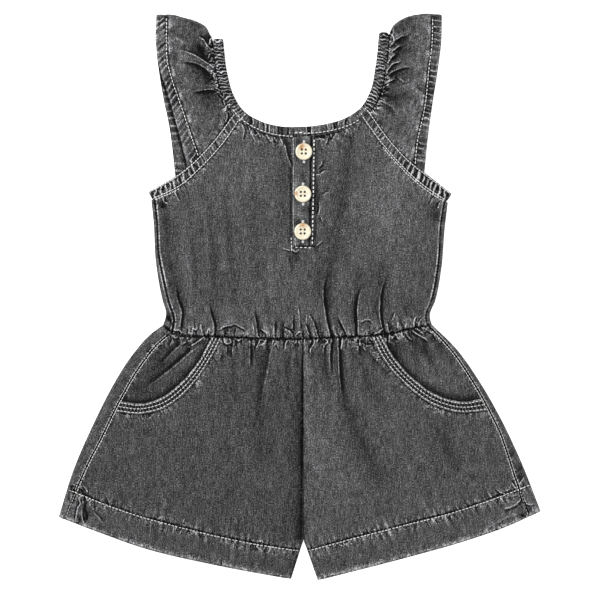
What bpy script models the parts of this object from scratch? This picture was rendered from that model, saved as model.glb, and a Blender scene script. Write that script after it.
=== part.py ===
"""Baby denim romper, laid flat: a buttoned bodice with flutter sleeves, an elastic waist and wide shorts.

The romper lies on its back on the surface z = 0, with the neck towards +Y and the wearer's left at +X.
Each cloth piece is a sheet placed over a pattern outline and given its wall. Back pieces roll round the side
folds to the seams on the front, sleeves and bindings fold over at the shoulder and at the underarm.
"""

import math
from collections import namedtuple

import bmesh
import bpy
import numpy as np

MM = 0.001

# Cloth and layers, in millimetres. The layer heights are those of the middle of the wall.
CLOTH = 1.2
BINDING = 1.8
ELASTIC_CASING = 2.2
POCKET_CLOTH = 1.0
UNDER_LAYER = CLOTH / 2
TOP_LAYER = 3.8
POCKET_LAYER = 2.2
POCKET_RISE = 1.3  # of the facing towards the side seam
SEAM_GAP = 0.3
CASING_WIDTH = 8.2
PUFF = 0.7  # how far a panel swells between its seams
ARMHOLE_SHARE = 0.3125  # of the bodice's upper edge, at each side of its neck
WAIST_PINCH = 0.7  # how far the elastic draws the front down
WAIST_REACH = 9.0
CROTCH_DROP = 1.5  # how far the front legs roll down to the inseam
INSEAM_REACH = 7.0
HEM_DEPTH = 24.0
HEM_THICKENING = 0.4

# Placket and buttons, in millimetres.
PLACKET_LEFT, PLACKET_RIGHT = -5.0, 12.6
PLACKET_TOP, PLACKET_BOTTOM = 127.2, 38.8
PLACKET_CLOTH = 1.2
BUTTON_RADIUS = 6.7
BUTTON_THICK = 2.2
BUTTON_RIM = 1.2
BUTTON_DISH = 0.5
BUTTON_HOLE_RADIUS = 0.7
BUTTON_HOLE_SPACING = 2.9
Button = namedtuple("Button", "name x y")
BUTTONS = (
    Button("button_top", 3.5, 116.0),
    Button("button_middle", 2.7, 82.2),
    Button("button_bottom", 2.6, 52.2),
)

# The waist seam from side to side, and the lines of the bodice. Side folds run from the waist to the underarm.
WAIST = ((-109.2, -22.2), (-100.5, -29.0), (-70.0, -31.5), (20.0, -33.0), (70.0, -29.2), (106.0, -22.0))
NECK_GAP_X = -4.6  # where the ends of the neck casing meet, at the placket's free edge
Bodice = namedtuple("Bodice", "fold seam_offsets armhole_upper armhole_lower neck")
BODICE = {
    "left": Bodice(
        fold=((-109.2, -22.2), (-107.0, -14.0), (-110.0, -2.0), (-115.2, 28.0), (-117.0, 60.0), (-118.8, 77.5)),
        seam_offsets=(9.5, 6.5, 4.8, 2.9, 2.9, 2.9),
        armhole_upper=((-53.2, 145.3), (-67.6, 125.6), (-88.8, 104.0), (-101.0, 95.0), (-120.2, 84.2)),
        armhole_lower=((-49.0, 140.2), (-61.0, 122.8), (-80.0, 102.0), (-96.0, 88.0), (-118.8, 77.5)),
        neck=((-65.2, 206.6), (-61.6, 178.0), (-56.6, 160.5), (-47.5, 146.2), (-33.0, 137.2), (-15.0, 132.6),
              (NECK_GAP_X, 132.0)),
    ),
    "right": Bodice(
        fold=((106.0, -22.0), (104.4, -15.4), (108.8, -3.0), (113.6, 22.0), (116.4, 55.0), (118.8, 75.4)),
        seam_offsets=(3.2, 2.9, 2.9, 2.9, 3.6, 2.9),
        armhole_upper=((56.6, 147.0), (72.4, 125.0), (88.8, 107.8), (101.8, 97.8), (120.8, 82.8)),
        armhole_lower=((51.2, 142.1), (65.0, 123.4), (79.0, 107.2), (97.2, 89.8), (118.8, 75.4)),
        neck=((67.8, 211.6), (64.8, 184.0), (60.4, 163.5), (52.0, 149.0), (40.0, 140.4), (24.0, 135.0),
              (9.0, 132.7), (NECK_GAP_X, 132.2)),
    ),
}

# Sleeve lines: the hem of the front half and of the back half from the armhole to the shoulder, and the shoulder
# fold from the neck casing to the hem.
Sleeve = namedtuple("Sleeve", "front_hem back_hem shoulder")
SLEEVES = {
    "left": Sleeve(
        front_hem=((-89.5, 102.6), (-97.0, 132.0), (-104.6, 159.0), (-112.2, 183.0), (-115.6, 205.0), (-114.8, 226.4)),
        back_hem=((-99.8, 95.4), (-105.0, 137.6), (-109.4, 159.0), (-113.0, 180.0), (-115.6, 205.0), (-114.8, 226.4)),
        shoulder=((-72.0, 211.0), (-74.8, 216.2), (-80.6, 220.2), (-91.4, 223.8), (-102.6, 226.2), (-114.8, 226.4)),
    ),
    "right": Sleeve(
        front_hem=((100.0, 97.4), (103.6, 132.0), (107.4, 159.0), (111.0, 182.0), (113.8, 205.0), (114.2, 226.4)),
        back_hem=((99.0, 98.2), (102.8, 132.0), (106.6, 159.0), (110.4, 182.0), (113.8, 205.0), (114.2, 226.4)),
        shoulder=((73.2, 212.0), (75.0, 217.0), (80.2, 221.6), (89.6, 225.6), (101.0, 226.9), (114.2, 226.3)),
    ),
}

# Leg lines. Side folds run from the waist to the hem, hems from the side to the inseam. The pocket's scoop and
# its band's outer edge run from the waist to the side seam, whose point is found from its height.
CENTRE_X = 3.2
CROTCH_Y = -197.0
Leg = namedtuple("Leg", "fold seam_offsets hem scoop band bag scoop_end band_end bag_end")
LEGS = {
    "left": Leg(
        fold=((-109.2, -22.2), (-119.0, -29.4), (-134.8, -47.4), (-150.8, -73.0), (-163.8, -98.8), (-180.6, -137.0),
              (-193.0, -176.0)),
        seam_offsets=(9.5, 10.6, 11.0, 11.0, 8.5, 5.6),
        hem=((-193.0, -176.0), (-160.4, -188.5), (-124.4, -201.2), (-70.8, -214.0), (-6.8, -226.0)),
        scoop=((-70.0, -31.5), (-82.2, -53.5), (-97.5, -70.8), (-111.8, -81.0), (-126.2, -85.1)),
        band=((-61.5, -31.8), (-73.0, -53.0), (-91.0, -76.5), (-107.8, -89.0), (-126.2, -93.8)),
        bag=((-66.0, -31.7), (-71.0, -64.0), (-86.0, -94.0), (-112.0, -108.0), (-132.0, -111.0)),
        scoop_end=-83.0,
        band_end=-92.0,
        bag_end=-108.0,
    ),
    "right": Leg(
        fold=((106.0, -22.0), (125.4, -41.2), (143.8, -67.0), (160.0, -95.0), (177.2, -131.0), (193.2, -171.4)),
        seam_offsets=(3.2, 4.4, 5.0, 5.8, 9.5, 10.8),
        hem=((193.2, -171.4), (169.2, -182.4), (134.0, -195.0), (88.4, -208.0), (14.6, -227.0)),
        scoop=((65.0, -29.8), (75.0, -47.0), (91.4, -65.4), (111.6, -79.0), (132.0, -83.6)),
        band=((57.2, -30.9), (67.0, -50.0), (86.3, -71.6), (106.7, -86.4), (128.0, -92.6)),
        bag=((61.0, -30.3), (64.0, -62.0), (82.0, -92.0), (106.0, -107.0), (130.0, -111.0)),
        scoop_end=-81.0,
        band_end=-91.0,
        bag_end=-107.0,
    ),
}

# The largest folds, as soft troughs (depth below 0) and ridges. Each runs from its first point, where it has its
# share "start" of the depth, and fades out at its last.
Fold = namedtuple("Fold", "points width depth start")
BODICE_FOLDS = (
    Fold(((-94.0, -28.0), (-98.0, 6.0), (-99.0, 36.0)), 5.0, -0.9, 1.0),
    Fold(((-67.0, -31.0), (-70.0, -5.0)), 4.5, -0.9, 1.0),
    Fold(((-33.0, -32.0), (-37.0, 0.0)), 5.0, -0.7, 1.0),
    Fold(((24.0, -32.0), (22.0, -4.0), (30.0, 60.0)), 6.0, -0.9, 1.0),
    Fold(((45.0, -31.0), (48.0, 0.0), (54.0, 34.0)), 5.5, -1.0, 1.0),
    Fold(((67.0, -29.0), (66.0, -2.0), (76.0, 28.0)), 5.5, -1.0, 1.0),
    Fold(((-82.0, -30.0), (-84.0, 20.0)), 8.0, 0.7, 1.0),
    Fold(((-50.0, -31.0), (-54.0, 20.0)), 8.0, 0.6, 1.0),
    Fold(((56.0, -30.0), (60.0, 20.0)), 7.0, 0.7, 1.0),
)
LEG_FOLDS = {
    "left": (
        Fold(((-22.5, -32.0), (-31.0, -64.0), (-38.0, -115.0)), 6.0, -1.1, 1.0),
        Fold(((-36.5, -32.0), (-37.0, -56.0)), 4.5, -0.9, 1.0),
        Fold(((-9.0, -33.0), (-14.0, -90.0)), 8.0, 0.6, 1.0),
        Fold(((-50.0, -120.0), (-70.0, -200.0)), 18.0, 0.5, 0.2),
    ),
    "right": (
        Fold(((19.5, -33.0), (18.0, -55.0)), 4.5, -0.8, 1.0),
        Fold(((33.0, -33.0), (32.5, -60.0), (35.0, -86.0)), 5.0, -1.0, 1.0),
        Fold(((47.0, -32.0), (49.0, -52.0)), 4.5, -0.8, 1.0),
        Fold(((11.0, -34.0), (12.0, -110.0)), 6.0, 0.6, 1.0),
        Fold(((60.0, -110.0), (84.0, -190.0)), 18.0, 0.5, 0.2),
    ),
}
SLEEVE_FOLDS = {
    "left": (
        Fold(((-70.0, 192.0), (-79.0, 208.0)), 4.5, -0.9, 1.0),
        Fold(((-66.0, 178.0), (-84.0, 186.0), (-100.0, 187.0)), 6.0, -0.9, 1.0),
        Fold(((-62.0, 166.0), (-72.0, 166.0), (-90.0, 160.0)), 5.0, -0.8, 1.0),
        Fold(((-68.0, 186.0), (-84.0, 196.0), (-104.0, 200.0)), 6.0, 1.1, 1.0),
        Fold(((-60.0, 158.0), (-78.0, 142.0)), 8.0, 0.9, 1.0),
    ),
    "right": (
        Fold(((72.0, 203.0), (82.0, 208.0), (94.0, 211.0)), 4.5, -0.9, 1.0),
        Fold(((69.0, 182.0), (78.0, 190.0), (90.0, 192.0)), 4.5, -0.8, 1.0),
        Fold(((66.0, 164.0), (76.0, 158.0), (80.0, 140.0)), 7.0, -0.9, 1.0),
        Fold(((70.0, 192.0), (84.0, 200.0), (100.0, 202.0)), 6.0, 1.0, 1.0),
        Fold(((68.0, 172.0), (84.0, 178.0), (100.0, 172.0)), 7.0, 1.0, 1.0),
    ),
}
POCKET_FOLDS = {
    "left": (
        Fold(((-78.0, -32.0), (-104.0, -60.0), (-134.0, -82.0)), 4.0, -0.5, 1.0),
        Fold(((-91.0, -32.0), (-113.0, -49.0)), 4.0, -0.5, 1.0),
    ),
    "right": (
        Fold(((84.0, -29.0), (104.0, -49.0), (114.0, -60.0)), 4.0, -0.5, 1.0),
        Fold(((96.0, -27.0), (108.0, -36.0)), 4.0, -0.5, 1.0),
    ),
}

# Points on the pattern lines.
CLOSE_POINTS = 80
POINTS_PER_STEP = 16

# Columns and rows of each sheet's grid.
BODICE_GRID = (36, 9)
BACK_GRID = (28, 9)
LEG_GRID = (18, 11)
LEG_BACK_GRID = (12, 9)
SLEEVE_GRID = (8, 9)
POCKET_GRID = (6, 7)
BAND_STEPS = 9
ARC_STEPS = 4
CASING_STEPS = 38
ARMHOLE_STEPS = 8
HAIRPIN_STEPS = 4

# Finishes: base colour, roughness, metallic.
DENIM = ("washed_denim", (0.075, 0.077, 0.081, 1.0), 0.92, 0.0)
DENIM_TRIM = ("denim_trim", (0.095, 0.097, 0.101, 1.0), 0.9, 0.0)
HORN = ("cream_button", (0.78, 0.68, 0.47, 1.0), 0.35, 0.0)


def eased(value):
    """0 below 0, 1 above 1, and smooth between."""
    t = np.clip(value, 0.0, 1.0)
    return t * t * (3 - 2 * t)


class Line:
    """A line of close points, walked from 0 to 1 by its length."""

    def __init__(self, points):
        self.points = points
        lengths = np.linalg.norm(np.diff(points, axis=0), axis=1)
        self.length = lengths.sum()
        self.share = np.concatenate([[0.0], np.cumsum(lengths)]) / self.length

    def at(self, t):
        return np.stack([np.interp(t, self.share, self.points[:, i]) for i in range(2)], axis=-1)

    def tangent(self, t):
        ahead, behind = self.at(np.minimum(t + 0.01, 1.0)), self.at(np.maximum(t - 0.01, 0.0))
        return (ahead - behind) / np.linalg.norm(ahead - behind, axis=-1, keepdims=True)

    def part(self, start, end):
        """The stretch from one share of the length to another, which may run backwards."""
        return Line(self.at(np.linspace(start, end, CLOSE_POINTS)))

    def share_at_y(self, y):
        """The share of the length at which a line that runs steadily down or up reaches height y."""
        order = np.argsort(self.points[:, 1])
        return float(np.interp(y, self.points[order, 1], self.share[order]))

    def offset(self, distance):
        """The line moved to its left by a distance."""
        t = np.linspace(0, 1, CLOSE_POINTS)
        tangent = self.tangent(t)
        normal = np.stack([-tangent[..., 1], tangent[..., 0]], axis=-1)
        return Line(self.at(t) + normal * distance)


def curve(points):
    """The smooth line through a few pattern points."""
    knots = np.array(points, float)
    steps = np.linalg.norm(np.diff(knots, axis=0), axis=1)
    where = np.concatenate([[0.0], np.cumsum(steps)])
    slopes = np.gradient(knots, where, axis=0)
    stretches = []
    for i, step in enumerate(steps):
        t = np.linspace(0, 1, POINTS_PER_STEP, endpoint=False)[:, None]
        stretches.append(
            (2 * t**3 - 3 * t**2 + 1) * knots[i]
            + (t**3 - 2 * t**2 + t) * slopes[i] * step
            + (3 * t**2 - 2 * t**3) * knots[i + 1]
            + (t**3 - t**2) * slopes[i + 1] * step
        )
    return Line(np.concatenate([*stretches, knots[-1:]]))


class Chain:
    """Lines end to end as one side of a patch, each taking its share of the way."""

    def __init__(self, *lines_and_shares):
        self.lines = [line for line, _ in lines_and_shares]
        self.ends = np.concatenate([[0.0], np.cumsum([share for _, share in lines_and_shares])])

    def at(self, t):
        t = np.asarray(t, float)
        found = self.lines[0].at(np.clip(t / self.ends[1], 0, 1))
        for line, start, end in zip(self.lines[1:], self.ends[1:], self.ends[2:]):
            here = line.at(np.clip((t - start) / (end - start), 0, 1))
            found = np.where((t >= start)[..., None], here, found)
        return found


class Patch:
    """The cloth between four sides: base and top run along u, start and finish along v."""

    def __init__(self, base, top, start, finish):
        self.base, self.top, self.start, self.finish = base, top, start, finish

    def at(self, u, v):
        u, v = np.broadcast_arrays(np.asarray(u, float), np.asarray(v, float))
        across, along = u[..., None], v[..., None]
        corners = (
            (1 - across) * (1 - along) * self.base.at(np.zeros_like(u))
            + across * (1 - along) * self.base.at(np.ones_like(u))
            + (1 - across) * along * self.top.at(np.zeros_like(u))
            + across * along * self.top.at(np.ones_like(u))
        )
        return (
            (1 - along) * self.base.at(u)
            + along * self.top.at(u)
            + (1 - across) * self.start.at(v)
            + across * self.finish.at(v)
            - corners
        )


def distances(x, y, points):
    """How far each point is from a line of short straight steps, and the share of the line nearest to it."""
    ends = np.array(points, float)
    reach = np.concatenate([[0.0], np.cumsum(np.linalg.norm(np.diff(ends, axis=0), axis=1))])
    nearest, share = np.full(np.shape(x), 1e9), np.zeros(np.shape(x))
    for a, b, start, finish in zip(ends, ends[1:], reach, reach[1:]):
        step = b - a
        t = np.clip(((x - a[0]) * step[0] + (y - a[1]) * step[1]) / (step @ step), 0, 1)
        gap = np.hypot(x - a[0] - t * step[0], y - a[1] - t * step[1])
        share = np.where(gap < nearest, (start + t * (finish - start)) / reach[-1], share)
        nearest = np.minimum(gap, nearest)
    return nearest, share


def relief(folds, x, y):
    """The height that the folds give to a panel."""
    height = np.zeros(np.shape(x))
    for fold in folds:
        gap, share = distances(x, y, fold.points)
        strength = (fold.start + (1 - fold.start) * eased(share * 3)) * (1 - eased(share * 1.6 - 0.6))
        height += fold.depth * strength * np.exp(-((gap / fold.width) ** 2))
    return height


def finish_of(name, colour, roughness, metallic):
    material = bpy.data.materials.get(name) or bpy.data.materials.new(name)
    material.use_nodes = True
    shader = material.node_tree.nodes["Principled BSDF"]
    shader.inputs["Base Color"].default_value = colour
    shader.inputs["Roughness"].default_value = roughness
    shader.inputs["Metallic"].default_value = metallic
    material.diffuse_color = colour
    return material


def add_object(name, mesh, finish, collection):
    made = bpy.data.objects.new(name, mesh)
    made.data.materials.append(finish_of(*finish))
    collection.objects.link(made)
    return made


def placed_grid(columns, rows, place):
    """A grid of faces whose points place(u, v) puts in the row frame, from millimetres."""
    mesh = bmesh.new()
    bmesh.ops.create_grid(mesh, x_segments=columns, y_segments=rows, size=0.5)
    u = np.array([vert.co.x + 0.5 for vert in mesh.verts])
    v = np.array([vert.co.y + 0.5 for vert in mesh.verts])
    for vert, point in zip(mesh.verts, place(u, v)):
        vert.co = point * MM
    return mesh


def laid_panel(name, columns, rows, place, wall, collection, finish=DENIM):
    """A panel that lies above others: its upper face is placed, and its wall goes straight down."""
    mesh = placed_grid(columns, rows, place)
    for vert in mesh.verts:
        vert.co.z += wall / 2 * MM
    lower = bmesh.ops.extrude_face_region(mesh, geom=list(mesh.faces))["geom"]
    moved = [item for item in lower if isinstance(item, bmesh.types.BMVert)]
    bmesh.ops.translate(mesh, verts=moved, vec=(0, 0, -wall * MM))
    bmesh.ops.recalc_face_normals(mesh, faces=list(mesh.faces))
    data = bpy.data.meshes.new(name)
    mesh.to_mesh(data)
    mesh.free()
    return add_object(name, data, finish, collection)


def rolled_sheet(name, columns, rows, place, wall, collection, finish=DENIM):
    """A sheet that rolls or folds over: its middle is placed, and Solidify gives it its wall."""
    mesh = placed_grid(columns, rows, place)
    data = bpy.data.meshes.new(name)
    mesh.to_mesh(data)
    mesh.free()
    made = add_object(name, data, finish, collection)
    solidify = made.modifiers.new("wall", "SOLIDIFY")
    solidify.thickness = wall * MM
    solidify.offset = 0.0
    solidify.use_even_offset = True
    solidify.use_quality_normals = True
    return made


def stacked(points, height):
    return np.concatenate([points, np.asarray(height, float)[..., None]], axis=-1)


def inset(value, length, gap=SEAM_GAP):
    """A share from 0 to 1 drawn in from both ends by the gap that a seam keeps."""
    margin = gap / length
    return margin + value * (1 - 2 * margin)


def waist_height(x):
    line = WAIST_LINE.points
    return np.interp(x, line[:, 0], line[:, 1])


def waist_share(x):
    line = WAIST_LINE.points
    return float(np.interp(x, line[:, 0], WAIST_LINE.share))


def waist_pinch(x, y):
    return WAIST_PINCH * (1 - eased(np.abs(y - waist_height(x)) / WAIST_REACH))


def puff(u, v):
    return PUFF * np.sqrt(np.clip(16 * u * (1 - u) * v * (1 - v), 0, 1))


WAIST_LINE = curve(WAIST)


# Bodice


def bodice_patch():
    """The bodice as it lies, from the waist to the armhole bindings and the neck casing."""
    left, right = BODICE["left"], BODICE["right"]
    neck = curve([*left.neck, *right.neck[-2::-1]]).offset(-CASING_WIDTH / 2 - SEAM_GAP)
    start = int(np.argmin(np.hypot(*(neck.points - left.armhole_lower[0]).T)))
    end = int(np.argmin(np.hypot(*(neck.points - right.armhole_lower[0]).T)))
    between = curve([left.armhole_lower[0], *neck.points[start + 2 : end - 1 : 6], right.armhole_lower[0]])
    top = Chain(
        (curve(left.armhole_lower[::-1]), ARMHOLE_SHARE),
        (between, 1 - 2 * ARMHOLE_SHARE),
        (curve(right.armhole_lower), ARMHOLE_SHARE),
    )
    return Patch(WAIST_LINE, top, curve(left.fold), curve(right.fold))


def side_offset(offsets, v):
    return np.interp(v, np.linspace(0, 1, len(offsets)), offsets)


def across_lengths(patch, v):
    """The length of the patch's row at height v."""
    u = np.linspace(0, 1, 60)
    rows = patch.at(u[:, None], np.atleast_1d(v)[None, :])
    return np.linalg.norm(np.diff(rows, axis=0), axis=-1).sum(axis=0)


def build_bodice_front(patch, collection):
    left, right = BODICE["left"].seam_offsets, BODICE["right"].seam_offsets

    def place(u, v):
        v = inset(v, 110.0)
        length = across_lengths(patch, v)
        start = (side_offset(left, v) + SEAM_GAP) / length
        finish = 1 - (side_offset(right, v) + SEAM_GAP) / length
        points = patch.at(start + u * (finish - start), v)
        x, y = points[:, 0], points[:, 1]
        height = TOP_LAYER + puff(u, v) - waist_pinch(x, y) + relief(BODICE_FOLDS, x, y)
        return stacked(points, height)

    laid_panel("bodice_front", *BODICE_GRID, place, CLOTH, collection)
    return place


def rolled_row(patch, v, distance, side):
    """The points at a distance in from the side fold, along the rows."""
    share = distance / across_lengths(patch, v)
    return patch.at(share if side == "left" else 1 - share, v)


ROLL_RADIUS = (TOP_LAYER - UNDER_LAYER) / 2
ROLL_MIDDLE = (TOP_LAYER + UNDER_LAYER) / 2
ROLL_CENTRE = CLOTH / 2 + ROLL_RADIUS  # in from the silhouette


def rolled_profile():
    """Columns of a rolled edge from its seam on the front to the flat back: the share of the strip on top that is
    left to go, and the angle round the fold."""
    strip = [(1.0, math.pi / 2), (0.5, math.pi / 2)]
    arc = [(0.0, math.pi / 2 - math.pi * step / ARC_STEPS) for step in range(ARC_STEPS + 1)]
    return strip + arc


def build_back(name, patch, rolls, grid, margin_length, collection):
    """A back panel flat on the surface that rolls round the side folds to the seams on the front.

    rolls maps a side to its seam offsets; a side without one ends in a plain seam.
    """
    profile = rolled_profile()
    columns, rows = grid
    left = len(profile) if "left" in rolls else 1
    right = len(profile) if "right" in rolls else 1
    total = left + right + columns - 2

    def place(u, v):
        v = inset(v, margin_length)
        length = across_lengths(patch, v)
        column = np.rint(u * total).astype(int)
        flat_start = ROLL_CENTRE / length if "left" in rolls else SEAM_GAP / length
        flat_finish = 1 - (ROLL_CENTRE / length if "right" in rolls else SEAM_GAP / length)
        inner = np.clip((column - left + 1) / (total - left - right + 2), 0, 1)
        points = stacked(patch.at(flat_start + inner * (flat_finish - flat_start), v), np.full_like(v, UNDER_LAYER))
        for side, offsets in rolls.items():
            count = column if side == "left" else total - column
            for step, (share, angle) in enumerate(profile):
                distance = ROLL_CENTRE - ROLL_RADIUS * math.cos(angle)
                distance = distance + share * (side_offset(offsets, v) - SEAM_GAP / 2 - ROLL_CENTRE)
                here = rolled_row(patch, v, distance, side)
                height = np.full_like(v, ROLL_MIDDLE + ROLL_RADIUS * math.sin(angle))
                points = np.where((count == step)[:, None], stacked(here, height), points)
        return points

    return rolled_sheet(name, total, rows, place, CLOTH, collection)


# Bindings: flat ribbons that fold back on themselves


def ribbon_path(legs, wall):
    """Points of a ribbon's middle and the way across it, for legs at two heights joined by hairpins.

    Each leg is a line, its height, its steps, and the turn (+1 or -1) from its way along to its way across.
    """
    points, across = [], []
    for number, (line, height, steps, turn) in enumerate(legs):
        other = legs[(number + 1) % len(legs)][1] if number + 1 < len(legs) else legs[number - 1][1]
        radius = abs(height - other) / 2
        pull = (radius + wall / 2) / line.length
        start = pull if number > 0 else SEAM_GAP / 2 / line.length
        finish = 1 - pull if number + 1 < len(legs) else 1 - SEAM_GAP / 2 / line.length
        t = np.linspace(start, finish, steps + 1)
        way = line.tangent(t)
        side = turn * np.stack([-way[:, 1], way[:, 0]], axis=-1)
        points.extend(stacked(line.at(t), np.full(len(t), height)))
        across.extend(stacked(side, np.zeros(len(t))))
        if number + 1 < len(legs):
            tip, heading = points[-1], np.append(way[-1], 0.0)
            middle = tip + np.array([0.0, 0.0, (other - height) / 2])
            up = np.array([0.0, 0.0, (height - other) / 2])
            for step in range(1, HAIRPIN_STEPS):
                angle = math.pi * step / HAIRPIN_STEPS
                points.append(middle + up * math.cos(angle) + heading * radius * math.sin(angle))
                across.append(across[-1])
    return np.array(points), np.array(across)


def build_ribbon(name, legs, width, wall, crown, collection):
    points, across = ribbon_path(legs, wall)
    steps = len(points) - 1
    along = np.gradient(points, axis=0)
    outward = np.cross(along, across)
    outward /= np.linalg.norm(outward, axis=1, keepdims=True)
    if outward[0, 2] < 0:
        outward = -outward

    def place(u, v):
        row = np.rint(v * steps).astype(int)
        swell = crown * (1 - (2 * u - 1) ** 2)
        swell = swell * np.clip(outward[row, 2], 0, 1)
        return points[row] + across[row] * ((u - 0.5) * width)[:, None] + outward[row] * swell[:, None]

    return rolled_sheet(name, 2, steps, place, wall, collection, DENIM_TRIM)


def build_neck_casing(collection):
    left, right = BODICE["left"].neck, BODICE["right"].neck
    front_height, back_height = TOP_LAYER + 0.3, ELASTIC_CASING / 2
    back = curve([*left, *right[-2::-1]])
    legs = (
        (curve([*left[:-1], (left[-1][0] - SEAM_GAP, left[-1][1])][::-1]), front_height, CASING_STEPS // 2, -1),
        (back, back_height, CASING_STEPS, 1),
        (curve([*right[:-1], (right[-1][0] + SEAM_GAP, right[-1][1])]), front_height, CASING_STEPS // 2, -1),
    )
    return build_ribbon("neck_casing", legs, CASING_WIDTH - SEAM_GAP, ELASTIC_CASING, 0.3, collection)


def binding_line(side):
    upper, lower = curve(BODICE[side].armhole_upper), curve(BODICE[side].armhole_lower)
    t = np.linspace(0, 1, 9)
    return curve((upper.at(t) + lower.at(t)) / 2)


def build_armhole_binding(side, collection):
    line = binding_line(side)
    upper, lower = BODICE[side].armhole_upper, BODICE[side].armhole_lower
    width = np.linalg.norm(np.subtract(upper[1:4], lower[1:4]), axis=1).min() - 4 * SEAM_GAP
    turn = -1 if side == "left" else 1
    legs = (
        (line.part(0.0, 1.0), TOP_LAYER + 0.2, ARMHOLE_STEPS, turn),
        (line.part(1.0, 0.0), BINDING / 2, ARMHOLE_STEPS, -turn),
    )
    return build_ribbon(f"armhole_binding_{side}", legs, width, BINDING, 0.0, collection)


# Sleeves


def sleeve_patches(side):
    """The front and back halves of a sleeve, u from the neck casing to the hem and v from the armhole up."""
    sleeve, bodice = SLEEVES[side], BODICE[side]
    upper = curve(bodice.armhole_upper)
    neck = curve(bodice.neck)
    outward = CASING_WIDTH / 2 if side == "right" else -CASING_WIDTH / 2
    casing = neck.offset(outward)
    nearest = np.hypot(*(casing.points - bodice.armhole_upper[0]).T)
    stop = casing.share[int(np.argmin(nearest))]
    inner = curve([bodice.armhole_upper[0], *casing.part(stop, 0.0).at(np.linspace(0.1, 0.9, 5)), sleeve.shoulder[0]])
    halves = []
    for hem in (sleeve.front_hem, sleeve.back_hem):
        reach = upper.share_at_y(hem[0][1])
        base = curve([*upper.part(0.0, reach).at(np.linspace(0, 0.85, 5)), hem[0]])
        halves.append(Patch(base, curve(sleeve.shoulder), inner, curve(hem)))
    return halves


def build_sleeve(side, collection):
    """One sheet over the shoulder: up the front half, round the fold, and down the back half."""
    front, back = sleeve_patches(side)
    columns, rows = SLEEVE_GRID
    arc = ARC_STEPS
    total = 2 * rows + arc
    height_of_half = 90.0
    pull = ROLL_CENTRE / height_of_half

    def place(u, v):
        step = np.rint(v * total)
        across = inset(u, 42.0, 0.45)
        lowest = 0.5 / height_of_half
        on_front = np.clip(step / rows, 0, 1)
        on_back = np.clip((total - step) / rows, 0, 1)
        front_v = lowest + on_front * (1 - pull - lowest)
        back_v = lowest + on_back * (1 - pull - lowest)
        front_points, back_points = front.at(across, front_v), back.at(across, back_v)
        x, y = front_points[:, 0], front_points[:, 1]
        away = eased(on_front * 5) * eased((1 - on_front) * 5)
        flounce = relief(SLEEVE_FOLDS[side], x, y) + 0.6 * np.sin(math.pi * np.clip(u * 1.1, 0, 1))
        upper = stacked(front_points, TOP_LAYER + away * flounce)
        lower = stacked(back_points, np.full_like(u, UNDER_LAYER))
        angle = np.pi * np.clip((step - rows) / arc, 0, 1)
        rim, inside = front.at(across, np.full_like(u, 1.0)), front.at(across, np.full_like(u, 0.94))
        outward = rim - inside
        outward /= np.linalg.norm(outward, axis=-1, keepdims=True)
        centre = rim - outward * ROLL_CENTRE
        turned = stacked(
            centre + outward * (ROLL_RADIUS * np.sin(angle))[:, None], ROLL_MIDDLE + ROLL_RADIUS * np.cos(angle)
        )
        points = np.where((step < rows)[:, None], upper, turned)
        return np.where((step > rows + arc)[:, None], lower, points)

    return rolled_sheet(f"sleeve_{side}", columns, total, place, CLOTH, collection)


# Shorts


def leg_patch(side):
    """One leg as it lies: u from the side fold to the centre seam, v from the hem up to the waist."""
    leg = LEGS[side]
    crotch = (CENTRE_X, CROTCH_Y)
    meets = waist_share(CENTRE_X)
    inner_side = Chain((curve([leg.hem[-1], crotch]), 0.16), (curve([crotch, WAIST_LINE.at(meets)]), 0.84))
    waist = WAIST_LINE.part(0.0 if side == "left" else 1.0, meets)
    return Patch(curve(leg.hem), waist, curve(leg.fold[::-1]), inner_side)


def side_seam(side, patch):
    """The seam on the front where the rolled back meets the front, from the hem up to the waist."""
    v = np.linspace(0, 1, 60)
    offset = side_offset(LEGS[side].seam_offsets[::-1], v)
    return Line(rolled_row(patch, v, offset, "left"))


def line_to_seam(points, seam, height):
    """A pocket line from the waist, ending on the side seam at a height."""
    return curve([*points, seam.at(seam.share_at_y(height))])


def inseam_drop(side, points):
    """How far the front rolls down towards the centre seam, and further at the inseam."""
    top = waist_height(CENTRE_X)
    line = [LEGS[side].hem[-1], (CENTRE_X, CROTCH_Y), (CENTRE_X, top)]
    gap, _ = distances(points[:, 0], points[:, 1], line)
    low = eased((top - points[:, 1]) / (top - CROTCH_Y))
    return CROTCH_DROP * (0.2 + 0.8 * low) * (1 - eased(gap / INSEAM_REACH))


def hem_lift(v, length):
    """The turned-up hem is a second layer, so the panel stands a little higher there."""
    return HEM_THICKENING * (1 - eased((v * length - HEM_DEPTH) / 3 + 1))


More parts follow.
